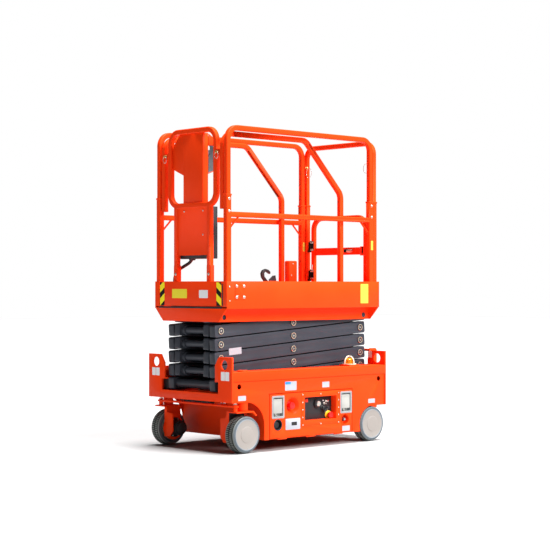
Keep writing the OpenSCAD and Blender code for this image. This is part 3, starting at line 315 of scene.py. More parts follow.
# Belly doors: folded steel sheet in the same orange, hinged along the lower edge and held by two
# latches each. A blank silver sticker is on the left door's lower rear corner.
for door_node in ("door_left", "door_right"):
    dress(door_node, 0.001, orange_paint)
door_label = plate("door_label", 0.070, 0.034, film, 0.004, facing(at(-0.310, skirt_y, 0.100), (0, 1, 0)))
fit(door_label, "left_door", "cream_wire", label_silver)

# Paddle latches: a pressed stainless tray with a rim and a folding paddle, one pair in each door.
# Each has a round key cylinder and four rivets round its rim.
latch_steel = mottled("latch_steel", (0.30, 0.31, 0.32), (0.25, 0.26, 0.27), (0.35, 0.5), 500, 0.0001, 0.2)
latch_paddle = mottled("latch_paddle", (0.37, 0.365, 0.34), (0.33, 0.325, 0.30), (0.3, 0.4), 500, 0.0001)
latch_ahead = (-0.310, 0.296)
latch_up = 0.270
latch_half = (0.0535, 0.071)
rivet_inset = 0.005
rim_proud = 0.0014
key_depth = 0.032
key_drop = 0.046


def scatter(master, name, places):
    copies = []
    for place in places:
        mesh = master.data.copy()
        mesh.transform(place)
        copy = bpy.data.objects.new(name, mesh)
        bpy.context.scene.collection.objects.link(copy)
        copies.append(copy)
    bpy.data.objects.remove(master)
    bpy.ops.object.select_all(action="DESELECT")
    for copy in copies:
        copy.select_set(True)
    bpy.context.view_layer.objects.active = copies[0]
    bpy.ops.object.join()
    return copies[0]


def dome_screw(name, radius):
    return turned(name, [(radius, 0), (radius, 0.3 * radius), (0.85 * radius, 0.5 * radius),
                         (0.5 * radius, 0.64 * radius)], 16)


zinc = mottled("zinc", (0.66, 0.64, 0.58), (0.52, 0.51, 0.47), (0.25, 0.4), 600, 0.0001, 0.9)
for side, side_body in ((1, "left_door"), (-1, "right_door")):
    latch_node = "latches_left" if side > 0 else "latches_right"
    latches = dress(latch_node, 0.0008, latch_steel, latch_paddle)
    for face in latches.data.polygons:
        inside = side * face.center.y < skirt_y - 0.0005
        face.material_index = 1 if inside and abs(face.normal.y) > 0.5 else 0
    rivets = []
    keys = []
    for ahead in latch_ahead:
        for across in (-1, 1):
            for rise in (-1, 1):
                rivet_at = at(ahead + across * (latch_half[0] - rivet_inset), side * (skirt_y + rim_proud),
                              latch_up + rise * (latch_half[1] - rivet_inset))
                rivets.append(facing(rivet_at, (0, side, 0)))
        keys.append(facing(at(ahead, side * (skirt_y - key_depth), latch_up - key_drop), (0, side, 0)))
    rivet = scatter(dome_screw("latch_rivet", 0.0028), latch_node + "_rivets", rivets)
    fit(rivet, side_body, "latch_steel", zinc)
    key = turned("latch_key", [(0.0105, 0), (0.0105, 0.012), (0.009, 0.0135), (0.006, 0.0135),
                               (0.0055, 0.0115)], 24)
    key = scatter(key, latch_node + "_keys", keys)
    fit(key, side_body, "latch_steel", zinc)

# Ground controls: an orange pressed bezel with a black instrument plate sunk in it, the red stop
# button in its dished cone, and two round cups for the charging inlet and the lowering valve.
panel_black = mottled("panel_black", (0.016, 0.016, 0.018), (0.010, 0.010, 0.012), (0.4, 0.55), 700, 0.0002)
stop_red = mottled("stop_red", (0.72, 0.012, 0.010), (0.62, 0.010, 0.008), (0.2, 0.32), 300, 0.0001)
cone_red = mottled("cone_red", (0.85, 0.030, 0.006), (0.78, 0.026, 0.005), (0.35, 0.45), 500, 0.0001)
stop_yellow = mottled("stop_yellow", (0.85, 0.52, 0.01), (0.76, 0.45, 0.008), (0.3, 0.4), 300, 0.0001)
panel = dress("ground_panel", 0.001, orange_paint, panel_black, stop_red)
recess_back = skirt_y - 0.047
stop_ahead = 0.170
stop_up = 0.272
inlet_ahead = 0.298
valve_ahead = -0.301
cup_up = 0.159
cup_r = 0.045
button_r = 0.023
cone_r = 0.06
for face in panel.data.polygons:
    ahead = face.center.x - middle_x
    up = face.center.z
    off_stop = math.hypot(ahead - stop_ahead, up - stop_up)
    if off_stop < button_r:
        face.material_index = 2
    elif off_stop < cone_r:
        face.material_index = 0
    elif math.hypot(ahead - inlet_ahead, up - cup_up) < cup_r:
        face.material_index = 1
    elif math.hypot(ahead - valve_ahead, up - cup_up) < cup_r:
        face.material_index = 0
    elif abs(face.center.y - recess_back) < 0.002 and face.normal.y > 0.5:
        face.material_index = 1

plate_thick = 0.0025
panel_plate = plate("instrument_plate", 0.279, 0.143, plate_thick, 0.004,
                    facing(at(-0.0775, recess_back, 0.2445), (0, 1, 0)))
soften(panel_plate, 0.0008)
fit(panel_plate, "left_door", "black_plastic", panel_black)
plate_face = recess_back + plate_thick
bezel_face = skirt_y + 0.002
bezel_screws = []
for ahead in (-0.239, -0.078, 0.084):
    for up in (0.145, 0.336):
        bezel_screws.append(facing(at(ahead, bezel_face, up), (0, 1, 0)))
for up in (0.193, 0.241, 0.289):
    for ahead in (-0.239, 0.084):
        bezel_screws.append(facing(at(ahead, bezel_face, up), (0, 1, 0)))
screws = scatter(dome_screw("bezel_screw", 0.0042), "bezel_screws", bezel_screws)
fit(screws, "left_door", "latch_steel", zinc)
red_label = plate("panel_label", 0.022, 0.022, film, 0.002, facing(at(0.004, plate_face, 0.294), (0, 1, 0)))
fit(red_label, "left_door", "black_plastic", cone_red)
lamp_profile = [(0.0045, 0), (0.0045, 0.003), (0.003, 0.005), (0.001, 0.0055)]
panel_pieces = (
    ("stop_collar", (-0.187, 0.193), stop_yellow, 32,
     [(0.028, 0), (0.028, 0.004), (0.025, 0.006), (0.016, 0.006)]),
    ("stop_head", (-0.187, 0.193), stop_red, 32,
     [(0.011, 0.005), (0.011, 0.018), (0.020, 0.020), (0.021, 0.028), (0.017, 0.033), (0.006, 0.0345)]),
    ("gauge_base", (-0.086, 0.270), panel_black, 40,
     [(0.029, 0), (0.029, 0.010), (0.026, 0.014), (0.019, 0.014)]),
    ("gauge_cap", (-0.086, 0.270), zinc, 40,
     [(0.017, 0.012), (0.017, 0.020), (0.014, 0.023), (0.009, 0.023), (0.008, 0.0215), (0.003, 0.0215)]),
    ("selector_base", (-0.138, 0.239), panel_black, 32,
     [(0.020, 0), (0.020, 0.004), (0.015, 0.007), (0.014, 0.016), (0.010, 0.018)]),
    ("lamp_red", (-0.187, 0.285), stop_red, 16, lamp_profile),
    ("lamp_white", (-0.141, 0.287), label_white, 16, lamp_profile),
)
for piece_name, (ahead, up), finish, sides, profile in panel_pieces:
    panel_piece = turned(piece_name, profile, sides)
    panel_piece.data.transform(facing(at(ahead, plate_face, up), (0, 1, 0)))
    fit(panel_piece, "left_door", "black_plastic", finish)
bar_turn = Matrix.Rotation(math.radians(35), 4, "Z")
selector_bar = plate("selector_bar", 0.056, 0.013, 0.014, 0.005,
                     facing(at(-0.150, plate_face + 0.016, 0.231), (0, 1, 0)) @ bar_turn)
soften(selector_bar, 0.002)
fit(selector_bar, "left_door", "black_plastic", panel_black)
toggles = [facing(at(ahead, plate_face, up), (0, 1, 0)) for ahead, up in ((-0.150, 0.268), (-0.166, 0.282))]
toggle = turned("toggle", [(0.008, 0), (0.008, 0.004), (0.0055, 0.006), (0.0055, 0.009), (0.003, 0.010),
                           (0.0042, 0.022), (0.002, 0.024)], 20)
fit(scatter(toggle, "toggles", toggles), "left_door", "latch_steel", zinc)
cup_depth = 0.034
for cup_name, ahead, finish, cup_profile in (
    ("inlet_plug", inlet_ahead, panel_black,
     [(0.019, 0), (0.019, 0.020), (0.016, 0.023), (0.016, 0.019), (0.004, 0.019)]),
    ("lowering_valve", valve_ahead, panel_black,
     [(0.014, 0), (0.014, 0.024), (0.011, 0.027), (0.004, 0.027)]),
    ("valve_knob", valve_ahead, label_silver,
     [(0.0065, 0.026), (0.0065, 0.031), (0.005, 0.033), (0.002, 0.033)]),
):
    cup_piece = turned(cup_name, cup_profile, 28)
    cup_piece.data.transform(facing(at(ahead, skirt_y - cup_depth, cup_up), (0, 1, 0)))
    fit(cup_piece, "left_door", "black_plastic", finish)
meter_thick = 0.003
meter = plate("charge_meter", 0.128, 0.070, meter_thick, 0.006, facing(at(0.170, skirt_y, 0.158), (0, 1, 0)))
soften(meter, 0.001)
fit(meter, "left_door", "latch_steel", label_silver)
meter_window = plate("charge_window", 0.046, 0.022, 0.0008, 0.003,
                     facing(at(0.160, skirt_y + meter_thick, 0.160), (0, 1, 0)))
fit(meter_window, "left_door", "black_plastic", panel_black)

# Steering knuckles and hub motors: welded knuckles in orange, each with a black finned motor on its
# inner side, bolted on through a flange.
motor_black = mottled("motor_black", (0.022, 0.022, 0.024), (0.014, 0.014, 0.016), (0.4, 0.55), 500, 0.0002)
tyre_proud = 0.002
tyre_width = 0.080
plate_behind = 0.008
hidden_face = skirt_y + tyre_proud - tyre_width - plate_behind
hidden_up = 0.195
flange_bolt_r = 0.055
flange_back = 0.0745
for side, side_name in ((1, "left"), (-1, "right")):
    knuckle = dress("knuckle_" + side_name, 0.0012, orange_paint, motor_black)
    # painted shade: the knuckle's outward faces just behind the tyre, low down, are painted black
    for face in knuckle.data.polygons:
        shade_behind_tyre = side * face.center.y > hidden_face and side * face.normal.y > 0.7
        face.material_index = 1 if shade_behind_tyre and face.center.z < hidden_up else 0
    dress("drive_motor_" + side_name, 0.002, motor_black)
    motor_low, motor_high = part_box("drive_motor_" + side_name)
    motor_tip = motor_low.y if side > 0 else motor_high.y
    motor_axis = Vector(((motor_low.x + motor_high.x) / 2, 0, (motor_low.z + motor_high.z) / 2))
    flange_bolts = []
    for step in range(8):
        angle = math.radians(45 * step + 22.5)
        bolt_at = motor_axis + flange_bolt_r * Vector((math.cos(angle), 0, math.sin(angle)))
        bolt_at.y = motor_tip + side * flange_back
        flange_bolts.append(facing(bolt_at, (0, -side, 0)))
    bolts = scatter(dome_screw("motor_bolt", 0.005), "motor_bolts_" + side_name, flange_bolts)
    fit(bolts, side_name + "_knuckle", "latch_steel", zinc)

# Tyres: solid non-marking rubber pressed on the hubs, with two staggered rows of cross blocks.
# The grooves are painted darker as shade, the blocks a paler grey, and the sidewalls a bluish grey.
tread_rubber = mottled("tread_rubber", (0.235, 0.252, 0.240), (0.185, 0.200, 0.190), (0.7, 0.85), 400, 0.0004,
                       specular=0.2)
wall_rubber = mottled("wall_rubber", (0.094, 0.111, 0.125), (0.080, 0.095, 0.108), (0.6, 0.75), 400, 0.0003,
                      specular=0.2)
groove_shade = mottled("groove_shade", (0.055, 0.058, 0.054), (0.038, 0.040, 0.037), (0.75, 0.9), 400, 0.0004,
                      specular=0.1)
wheel_names = ("front_left", "front_right", "rear_left", "rear_right")
tyre_low, tyre_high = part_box("tyre_front_left")
tyre_r = (tyre_high.z - tyre_low.z) / 2
tyre_half = (tyre_high.y - tyre_low.y) / 2
bore_r = 0.086
blocks = 58
block_h = 0.0026
groove_half = 0.0028
wall_depth = 0.0085
shoulder = 0.012
floor_r = tyre_r - block_h


def drop_caps(piece):
    pick(piece)
    bpy.ops.object.mode_set(mode="EDIT")
    bpy.ops.mesh.select_mode(type="FACE")
    bpy.ops.mesh.select_all(action="DESELECT")
    bpy.ops.object.mode_set(mode="OBJECT")
    for face in piece.data.polygons:
        face.select = len(face.vertices) > 4
    bpy.ops.object.mode_set(mode="EDIT")
    bpy.ops.mesh.delete(type="ONLY_FACE")
    bpy.ops.object.mode_set(mode="OBJECT")


tyre_master = turned("tyre_master", [
    (bore_r, -tyre_half + 0.003), (bore_r + 0.006, -tyre_half), (tyre_r - shoulder, -tyre_half),
    (tyre_r - 0.006, -tyre_half + 0.003), (floor_r - 0.001, -tyre_half + 0.008),
    (floor_r, -tyre_half + shoulder), (floor_r, -0.0015), (floor_r, 0.0015), (floor_r, tyre_half - shoulder),
    (floor_r - 0.001, tyre_half - 0.008), (tyre_r - 0.006, tyre_half - 0.003),
    (tyre_r - shoulder, tyre_half), (bore_r + 0.006, tyre_half), (bore_r, tyre_half - 0.003),
    (bore_r, -tyre_half + 0.0031)], 2 * blocks)
drop_caps(tyre_master)
bpy.ops.object.mode_set(mode="EDIT")
bpy.ops.mesh.select_all(action="SELECT")
bpy.ops.mesh.remove_doubles(threshold=0.0003)
bpy.ops.mesh.normals_make_consistent(inside=False)
bpy.ops.mesh.select_mode(type="EDGE")
bpy.ops.mesh.select_all(action="DESELECT")
bpy.ops.object.mode_set(mode="OBJECT")
corners = tyre_master.data.vertices
for edge in tyre_master.data.edges:
    near, far = (corners[index].co for index in edge.vertices)
    on_floor = min(near.xy.length, far.xy.length) > floor_r - 0.0005
    along = on_floor and abs(near.z - far.z) > 0.02
    turn = round((math.atan2(near.y, near.x) / math.pi + 1) * blocks)
    edge.select = along and turn % 2 == (1 if near.z + far.z > 0 else 0)
bpy.ops.object.mode_set(mode="EDIT")
bpy.ops.mesh.dissolve_edges(use_verts=False)
bpy.ops.mesh.select_mode(type="FACE")
bpy.ops.mesh.select_all(action="DESELECT")
bpy.ops.object.mode_set(mode="OBJECT")
for face in tyre_master.data.polygons:
    in_row = 0.004 < abs(face.center.z) < tyre_half - shoulder
    face.select = in_row and face.center.xy.length > floor_r - 0.002
bpy.ops.object.mode_set(mode="EDIT")
bpy.ops.mesh.inset(thickness=groove_half, depth=0, use_individual=True)
bpy.ops.mesh.extrude_faces_move(TRANSFORM_OT_shrink_fatten={"value": block_h})
bpy.ops.object.mode_set(mode="OBJECT")
bpy.ops.object.shade_smooth_by_angle(angle=math.radians(30))
for wheel in wheel_names:
    wheel_low, wheel_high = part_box("tyre_" + wheel)
    wheel_side = 1 if wheel.endswith("left") else -1
    tyre = bpy.data.objects.new("tyre_" + wheel + "_treaded", tyre_master.data.copy())
    bpy.context.scene.collection.objects.link(tyre)
    for face in tyre.data.polygons:
        out = face.center.xy.length
        # painted shade: the groove floors and block sides take the darker groove rubber
        in_groove = abs(face.center.z) < tyre_half - 0.010 and tyre_r - wall_depth < out < tyre_r - 0.0010
        face.material_index = 1 if out < tyre_r - wall_depth else 2 if in_groove else 0
    tyre.data.transform(facing((wheel_low + wheel_high) / 2, (0, wheel_side, 0)))
    index_of = [face.material_index for face in tyre.data.polygons]
    fit(tyre, wheel + "_wheel", "tyre_rubber", tread_rubber, wall_rubber, groove_shade)
    for face, index in zip(tyre.data.polygons, index_of):
        face.material_index = index
    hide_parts("tyre_" + wheel)
bpy.data.objects.remove(tyre_master)

# Hubs: turned steel discs painted cream, each closed by a flat cover with a shallow raised middle.
# The cover laps over the tyre's bead, its narrow rim is bare grey metal, and three screws hold it.
hub_paint = mottled("hub_paint", (0.275, 0.250, 0.230), (0.245, 0.222, 0.205), (0.35, 0.5), 500, 0.0002)
rim_grey = mottled("rim_grey", (0.25, 0.28, 0.31), (0.20, 0.23, 0.26), (0.35, 0.5), 500, 0.0002)
cover_r = 0.0955
cover_out = 0.0054
cover_screw_r = 0.083
for wheel in wheel_names:
    dress("hub_" + wheel, 0.0015, hub_paint)
    wheel_side = 1 if wheel.endswith("left") else -1
    hub_low, hub_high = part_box("hub_" + wheel)
    hub_middle = (hub_low + hub_high) / 2
    hub_face = hub_high.y if wheel_side > 0 else hub_low.y
    cover = turned("hub_cover_" + wheel, [
        (bore_r - 0.001, -0.002), (bore_r - 0.001, 0.0043), (cover_r, 0.0043), (cover_r, 0.0056),
        (cover_r - 0.001, 0.0064), (cover_r - 0.004, 0.0064), (cover_r - 0.0048, cover_out),
        (0.0505, cover_out), (0.0490, 0.0070), (0.0460, 0.0074), (0.006, 0.0074)], 64)
    cover_at = Vector((hub_middle.x, hub_face, hub_middle.z))
    rim_faces = [face.index for face in cover.data.polygons if face.center.xy.length > cover_r - 0.0046]
    cover.data.transform(facing(cover_at, (0, wheel_side, 0)))
    fit(cover, wheel + "_wheel", "hub_paint", hub_paint, rim_grey)
    for index in rim_faces:
        cover.data.polygons[index].material_index = 1
    cover_screws = []
    for angle in (25, 145, 265):
        turn = math.radians(angle)
        off_axle = cover_screw_r * Vector((math.cos(turn), 0, math.sin(turn)))
        screw_at = cover_at + off_axle + Vector((0, wheel_side * cover_out, 0))
        cover_screws.append(facing(screw_at, (0, wheel_side, 0)))
    screws = scatter(dome_screw("hub_screw", 0.0028), "hub_screws_" + wheel, cover_screws)
    fit(screws, wheel + "_wheel", "latch_steel", rim_grey)

# Tie bar and steering cylinder: a flat orange bar between the steering arms with zinc nuts on its
# pins, and a black cylinder with a chromed rod that pushes it.
chrome = mottled("chrome", (0.80, 0.80, 0.80), (0.72, 0.72, 0.73), (0.08, 0.16), 200, 0.00003, 1.0)
dress("tie_bar", 0.001, orange_paint)
dress("steer_barrel", 0.001, motor_black)
dress("steer_rod", 0.0008, chrome)


def hex_bolt(name, across):
    head = turned(name, [(0.58 * across, 0.14 * across), (0.58 * across, 0.60 * across),
                         (0.50 * across, 0.68 * across), (0.2 * across, 0.69 * across)], 6)
    washer = turned("washer", [(0.95 * across, 0), (0.95 * across, 0.12 * across),
                               (0.88 * across, 0.15 * across)], 24)
    bpy.ops.object.select_all(action="DESELECT")
    washer.select_set(True)
    head.select_set(True)
    bpy.context.view_layer.objects.active = head
    bpy.ops.object.join()
    return head


for side, side_name in ((1, "left"), (-1, "right")):
    nut = hex_bolt("tie_bar_nut_" + side_name, 0.015)
    nut.data.transform(facing(at(0.620, side * 0.360, 0.3014), (0, 0, 1), (1, 0, 0)))
    fit(nut, side_name + "_knuckle", "latch_steel", zinc)

# Scissor arms: five pairs of inner and outer box tubes, cross-tubed, in a dark blue-grey paint.
# A blank silver sticker rides on the left outer arm of the third stage, near its front end.
arm_paint = mottled("arm_paint", (0.043, 0.048, 0.060), (0.034, 0.038, 0.049), (0.30, 0.40), 600, 0.0002,
                    specular=0.18)
stages = 5
first_pin_up = 0.411
stage_rise = 0.0842
pin_ahead = 0.620
arm_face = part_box("outer_arm_2")[1].y
for stage in range(1, stages + 1):
    for arm_kind in ("inner", "outer"):
        dress("%s_arm_%d" % (arm_kind, stage), 0.003, arm_paint)
arm_lean = Matrix.Rotation(math.radians(3.9), 4, "Z")
arm_label = plate("arm_label", 0.104, 0.042, film, 0.004,
                  facing(at(0.500, arm_face, 0.620), (0, 1, 0)) @ arm_lean)
fit(arm_label, "outer_arms_3", "cream_wire", label_silver)

# Pin rings: turned brass-coloured keeper rings, one sprung on the dark head of each pivot pin.
# A grease nipple stands in the middle of each pin.
ring_zinc = mottled("ring_zinc", (0.72, 0.66, 0.50), (0.60, 0.54, 0.40), (0.25, 0.4), 600, 0.0001, 0.7)
head_out = 0.0040
ring_profile = [(0.0205, -0.0008), (0.0205, 0.0020), (0.0195, 0.0030), (0.0170, 0.0030), (0.0160, 0.0020),
                (0.0160, 0.0004)]
for stage in range(1, stages + 1):
    pin_spots = []
    for side in (1, -1):
        for ahead, level in ((-1, 1), (0, 0.5), (1, 0)):
            own_pin = (stage == 1 and ahead == 1) or (stage == stages and ahead == -1)
            if own_pin:
                continue
            pin_up = first_pin_up + (stage - 1 + level) * stage_rise
            spot = at(ahead * pin_ahead, side * (arm_face + head_out), pin_up)
            pin_spots.append(facing(spot, (0, side, 0)))
    ring = turned("pin_ring", ring_profile, 36)
    drop_caps(ring)
    ring = scatter(ring, "pin_rings_%d" % stage, pin_spots)
    fit(ring, "outer_arms_%d" % stage, "cream_wire", ring_zinc)
    nipple = turned("nipple", [(0.006, 0), (0.006, 0.002), (0.0032, 0.0026), (0.0032, 0.0055),
                               (0.0018, 0.007)], 12)
    nipple = scatter(nipple, "grease_nipples_%d" % stage, pin_spots)
    fit(nipple, "outer_arms_%d" % stage, "latch_steel", zinc)

# Slide blocks and lift cylinder: black nylon blocks that run in the beams and under the deck, and a
# dark painted cylinder with a chromed rod between the second and fourth stages.
nylon = mottled("nylon", (0.022, 0.022, 0.024), (0.015, 0.015, 0.017), (0.45, 0.6), 700, 0.0002)
dress("lower_slide_blocks", 0.002, nylon)
dress("upper_slide_blocks", 0.002, nylon)
dress("lift_barrel", 0.002, arm_paint)
dress("lift_rod", 0.001, chrome)

# Platform: the floor with its underframe and the folded toe boards, welded of orange sheet steel.
# The left toe board has a bolted cover plate at its front and a blank yellow sticker at its rear.
dress("platform_deck", 0.0012, orange_paint)
dress("toe_boards", 0.0015, orange_paint)
toe_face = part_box("toe_boards")[1].y
cover_ahead = 0.570
cover_up = 0.9915
cover_thick = 0.003
cover = plate("toe_board_cover", 0.086, 0.097, cover_thick, 0.006,
              facing(at(cover_ahead, toe_face, cover_up), (0, 1, 0)))
soften(cover, 0.001)
fit(cover, "platform", "orange_paint", orange_paint)
cover_bolts = []
for across in (-0.030, 0.030):
    for rise in (-0.034, 0.034):
        bolt_at = at(cover_ahead + across, toe_face + cover_thick, cover_up + rise)
        cover_bolts.append(facing(bolt_at, (0, 1, 0)))
fit(scatter(hex_bolt("cover_bolt", 0.010), "cover_bolts", cover_bolts), "platform", "latch_steel", zinc)
toe_label = plate("toe_board_label", 0.074, 0.128, film, 0.004,
                  facing(at(-0.534, toe_face, 0.975), (0, 1, 0)))
fit(toe_label, "platform", "cream_wire", label_yellow)

# Guard rails: square tube with large bends, in orange. The upper hoops drop into the lower posts
# and are held there by zinc bolts, so that they can be taken down.
for rail_node in ("rail_left", "rail_right", "rear_rail"):
    rail = dress(rail_node, 0, orange_paint, motor_black)
    if rail_node == "rear_rail":
        for face in rail.data.polygons:
            on_bracket = 1.02 < face.center.z < 1.36 and -0.2985 < face.center.y < -0.26
            face.material_index = 1 if on_bracket else 0
post_top = 1.590
post_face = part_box("rail_left")[1].y
post_ahead = (0.654, -0.610)
corner_ahead = -0.652
corner_left = 0.318
corner_half = 0.019
bolt_drops = (0.030, 0.105)
post_bolts = []
for side in (1, -1):
    for ahead in post_ahead:
        for drop in bolt_drops:
            post_bolts.append(facing(at(ahead, side * post_face, post_top - drop), (0, side, 0)))
    for drop in bolt_drops:
        bolt_at = at(corner_ahead + corner_half, side * corner_left, post_top - drop)
        post_bolts.append(facing(bolt_at, (1, 0, 0)))
    for up in (0.935, 1.020):
        post_bolts.append(facing(at(post_ahead[0], side * post_face, up), (0, side, 0)))
fit(scatter(hex_bolt("post_bolt", 0.009), "post_bolts", post_bolts), "platform", "latch_steel", zinc)
collar_w = 0.0415
collar_h = 0.012
collar_up = post_top - 0.006
collars = []
for side in (1, -1):
    for ahead in post_ahead:
        collars.append(Matrix.Translation(at(ahead, side * 0.326, collar_up)))
    collars.append(Matrix.Translation(at(corner_ahead, side * corner_left, collar_up)))
bpy.ops.object.select_all(action="DESELECT")
bpy.ops.mesh.primitive_cube_add(size=collar_w)
post_collar = bpy.context.object
post_collar.data.transform(Matrix.Diagonal((1, 1, collar_h / collar_w, 1)))
soften(post_collar, 0.004, 3)
fit(scatter(post_collar, "post_collars", collars), "platform", "orange_paint", orange_paint)
for label_name, face_y, up in (("left_post_label", post_face, 1.296), ("right_post_label", -0.307, 1.298)):
    strip = plate(label_name, 0.020, 0.062, film, 0.003, facing(at(-0.613, face_y, up), (0, 1, 0)))
    fit(strip, "platform", "cream_wire", label_yellow)

# Clamp pins: brass-coloured locking pins with wire pull rings, one through each clamp where the
# rear rail meets the side rails and where the front loop meets the extension rails.
brass = mottled("brass", (0.62, 0.42, 0.16), (0.50, 0.33, 0.11), (0.25, 0.4), 600, 0.0001, 0.9)
clamp_up = 1.850


def pull_ring(name, radius, wire):
    bpy.ops.object.select_all(action="DESELECT")
    bpy.ops.mesh.primitive_torus_add(
        major_radius=radius, minor_radius=wire, major_segments=28, minor_segments=8)
    ring = bpy.context.object
    ring.name = name
    bpy.ops.object.mode_set(mode="EDIT")
    bpy.ops.mesh.select_all(action="SELECT")
    bpy.ops.transform.resize(value=(0.8, 1, 1), center_override=(0, 0, 0))
    bpy.ops.object.mode_set(mode="OBJECT")
    bpy.ops.object.shade_smooth_by_angle(angle=math.radians(60))
    return ring


def clamp_pins(name, body, ring_r, spots):
    pin = turned("pin", [(0.008, 0), (0.008, 0.004), (0.0055, 0.005), (0.0055, 0.013), (0.008, 0.014),
                         (0.008, 0.018), (0.004, 0.020)], 20)
    fit(scatter(pin, name, [facing(place, normal) for place, normal in spots]), body, "latch_steel", brass)
    hang = []
    for place, normal in spots:
        reach = ring_r if normal[0] == 0 else 0.012
        ring_at = place + Vector(normal) * reach - Vector((0, 0, 1.1 * ring_r))
        hang.append(facing(ring_at, (1, 0, 0)))
    fit(scatter(pull_ring("ring", ring_r, 0.0016), name + "_rings", hang), body, "latch_steel", zinc)


clamp_pins("rear_clamp_pins", "platform", 0.032, [
    (at(-0.631, side * 0.306, clamp_up), (0, -side, 0)) for side in (1, -1)])

# Socket box: a plain orange sheet box with rounded corners inside the right toe board.
# Its front is a blank cover held by two small screws.
dress("socket_box", 0.008, orange_paint)
socket_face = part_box("socket_box")[1].y
socket_spots = []
for ahead, up in ((-0.499, 1.179), (-0.483, 1.098)):
    socket_spots.append(facing(at(ahead, socket_face, up), (0, 1, 0)))
screws = scatter(dome_screw("socket_screw", 0.0045), "socket_screws", socket_spots)
fit(screws, "platform", "latch_steel", zinc)

# Extension deck: a sliding floor with a folded front panel, orange. The panel has black and yellow
# hazard tape at both ends and two blank plates, one yellow and one white, on its face.
deck = dress("extension_deck", 0.0012, orange_paint, nylon)
cable_low, cable_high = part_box("control_cable")
cable_r = 0.010
gland_spot = Vector(((cable_low.x + cable_high.x) / 2, cable_low.y + cable_r, cable_low.z))
for face in deck.data.polygons:
    off_gland = (face.center - gland_spot).xy.length
    face.material_index = 1 if off_gland < 0.0195 and face.center.z > gland_spot.z - 0.030 else 0


stripe_slope = 0.75
stripe_pitch = 0.082
black_share = 0.44


def hazard_tape(name, phase):
    material = bpy.data.materials.new(name)
    material.use_nodes = True
    nodes = material.node_tree.nodes
    links = material.node_tree.links
    shader = nodes["Principled BSDF"]
    shader.inputs["Specular IOR Level"].default_value = 0.1
    coords = nodes.new("ShaderNodeTexCoord")
    parts = nodes.new("ShaderNodeSeparateXYZ")
    links.new(coords.outputs["Object"], parts.inputs["Vector"])
    steps = (
        ("ABSOLUTE", 0.0), ("MULTIPLY", stripe_slope), ("ADD", parts.outputs["Z"]), ("SUBTRACT", phase),
        ("DIVIDE", stripe_pitch), ("FRACT", 0.0), ("LESS_THAN", black_share),
    )
    value = parts.outputs["Y"]
    for operation, second in steps:
        step = nodes.new("ShaderNodeMath")
        step.operation = operation
        links.new(value, step.inputs[0])
        if isinstance(second, float):
            step.inputs[1].default_value = second
        else:
            links.new(second, step.inputs[1])
        value = step.outputs["Value"]
    colour = nodes.new("ShaderNodeMix")
    colour.data_type = "RGBA"
    colour.inputs["A"].default_value = (0.97, 0.83, 0.02, 1.0)
    colour.inputs["B"].default_value = (0.006, 0.006, 0.007, 1.0)
    links.new(value, colour.inputs["Factor"])
    links.new(colour.outputs["Result"], shader.inputs["Base Color"])
    links.new(noise_between(nodes, links, coords, 40, 3.0, 0.35, 0.5), shader.inputs["Roughness"])
    return material


panel_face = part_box("extension_deck")[1].x - middle_x
for tape_name, left, phase in (("right_tape", -0.279, 1.173), ("left_tape", 0.272, 1.169)):
    tape = plate(tape_name, 0.045, 0.146, film, 0.001, facing(at(panel_face, left, 0.976), (1, 0, 0)))
    fit(tape, "extension", "cream_wire", hazard_tape(tape_name, phase))
yellow_plate = plate("yellow_plate", 0.146, 0.058, 0.001, 0.004,
                     facing(at(panel_face, -0.106, 0.978), (1, 0, 0)))
plate_yellow = mottled("plate_yellow", (0.93, 0.78, 0.03), (0.86, 0.71, 0.02), (0.35, 0.5), 200, 0.00005)
fit(yellow_plate, "extension", "cream_wire", plate_yellow)
white_plate = plate("white_plate", 0.084, 0.050, 0.001, 0.004,
                    facing(at(panel_face, 0.127, 0.976), (1, 0, 0)))
fit(white_plate, "extension", "cream_wire", label_white)
# Painted shade: two thin black strips stand in for the dark gaps, one under the extension panel and one at
# its left end.
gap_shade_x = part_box("platform_deck")[1].x - middle_x
for gap_shade_name, left, up, width, height in (("deck_gap_shade", 0.0, 0.8915, 0.610, 0.010),
                                           ("panel_gap_shade", 0.3085, 0.972, 0.009, 0.135)):
    gap_shade = plate(gap_shade_name, width, height, 0.0012, 0.002, facing(at(gap_shade_x, left, up), (1, 0, 0)))
    fit(gap_shade, "platform", "black_plastic", nylon)

# Extension rails and front loop: bent square tube that slides out with the deck, with a lower panel
# screwed between the loop's posts. The turned-down tube ends are open.
dress("extension_rails", 0, orange_paint)
dress("front_rail", 0, orange_paint)
rail_x = 0.650
panel_screws = []
for left, up in ((-0.082, 1.495), (0.100, 1.495), (0.100, 1.346)):
    panel_screws.append(facing(at(rail_x + 0.007, left, up), (1, 0, 0)))
screws = scatter(dome_screw("panel_screw", 0.0055), "panel_screws", panel_screws)
fit(screws, "extension", "latch_steel", zinc)
sleeve_bolts = []
for side in (-1, 1):
    for up in (0.960, 1.100):
        sleeve_bolts.append(facing(at(rail_x + 0.0165, side * 0.160 + 0.004, up), (1, 0, 0)))
    sleeve_bolts.append(facing(at(-0.375, side * 0.299, 0.960), (0, side, 0)))
fit(scatter(hex_bolt("sleeve_bolt", 0.009), "sleeve_bolts", sleeve_bolts), "extension", "latch_steel", zinc)
clamp_pins("front_clamp_pins", "extension", 0.020, [
    (at(rail_x + 0.016, side * 0.251, clamp_up), (1, 0, 0)) for side in (1, -1)])
open_ends = []
for side in (1, -1):
    open_ends.append(facing(at(rail_x, side * 0.2825, 1.5002), (0, 0, -1), (1, 0, 0)))
end_plug = plate("end_plug", 0.027, 0.027, 0.0008, 0.005, Matrix.Identity(4))
fit(scatter(end_plug, "tube_end_plugs", open_ends), "extension", "black_plastic", nylon)

# Control column: a folded steel channel between the loop's tubes, with a bare face to the front.
# A flat gusset plate ties it to the loop's right post, all in the same orange coat.
dress("control_column", 0.002, orange_paint)

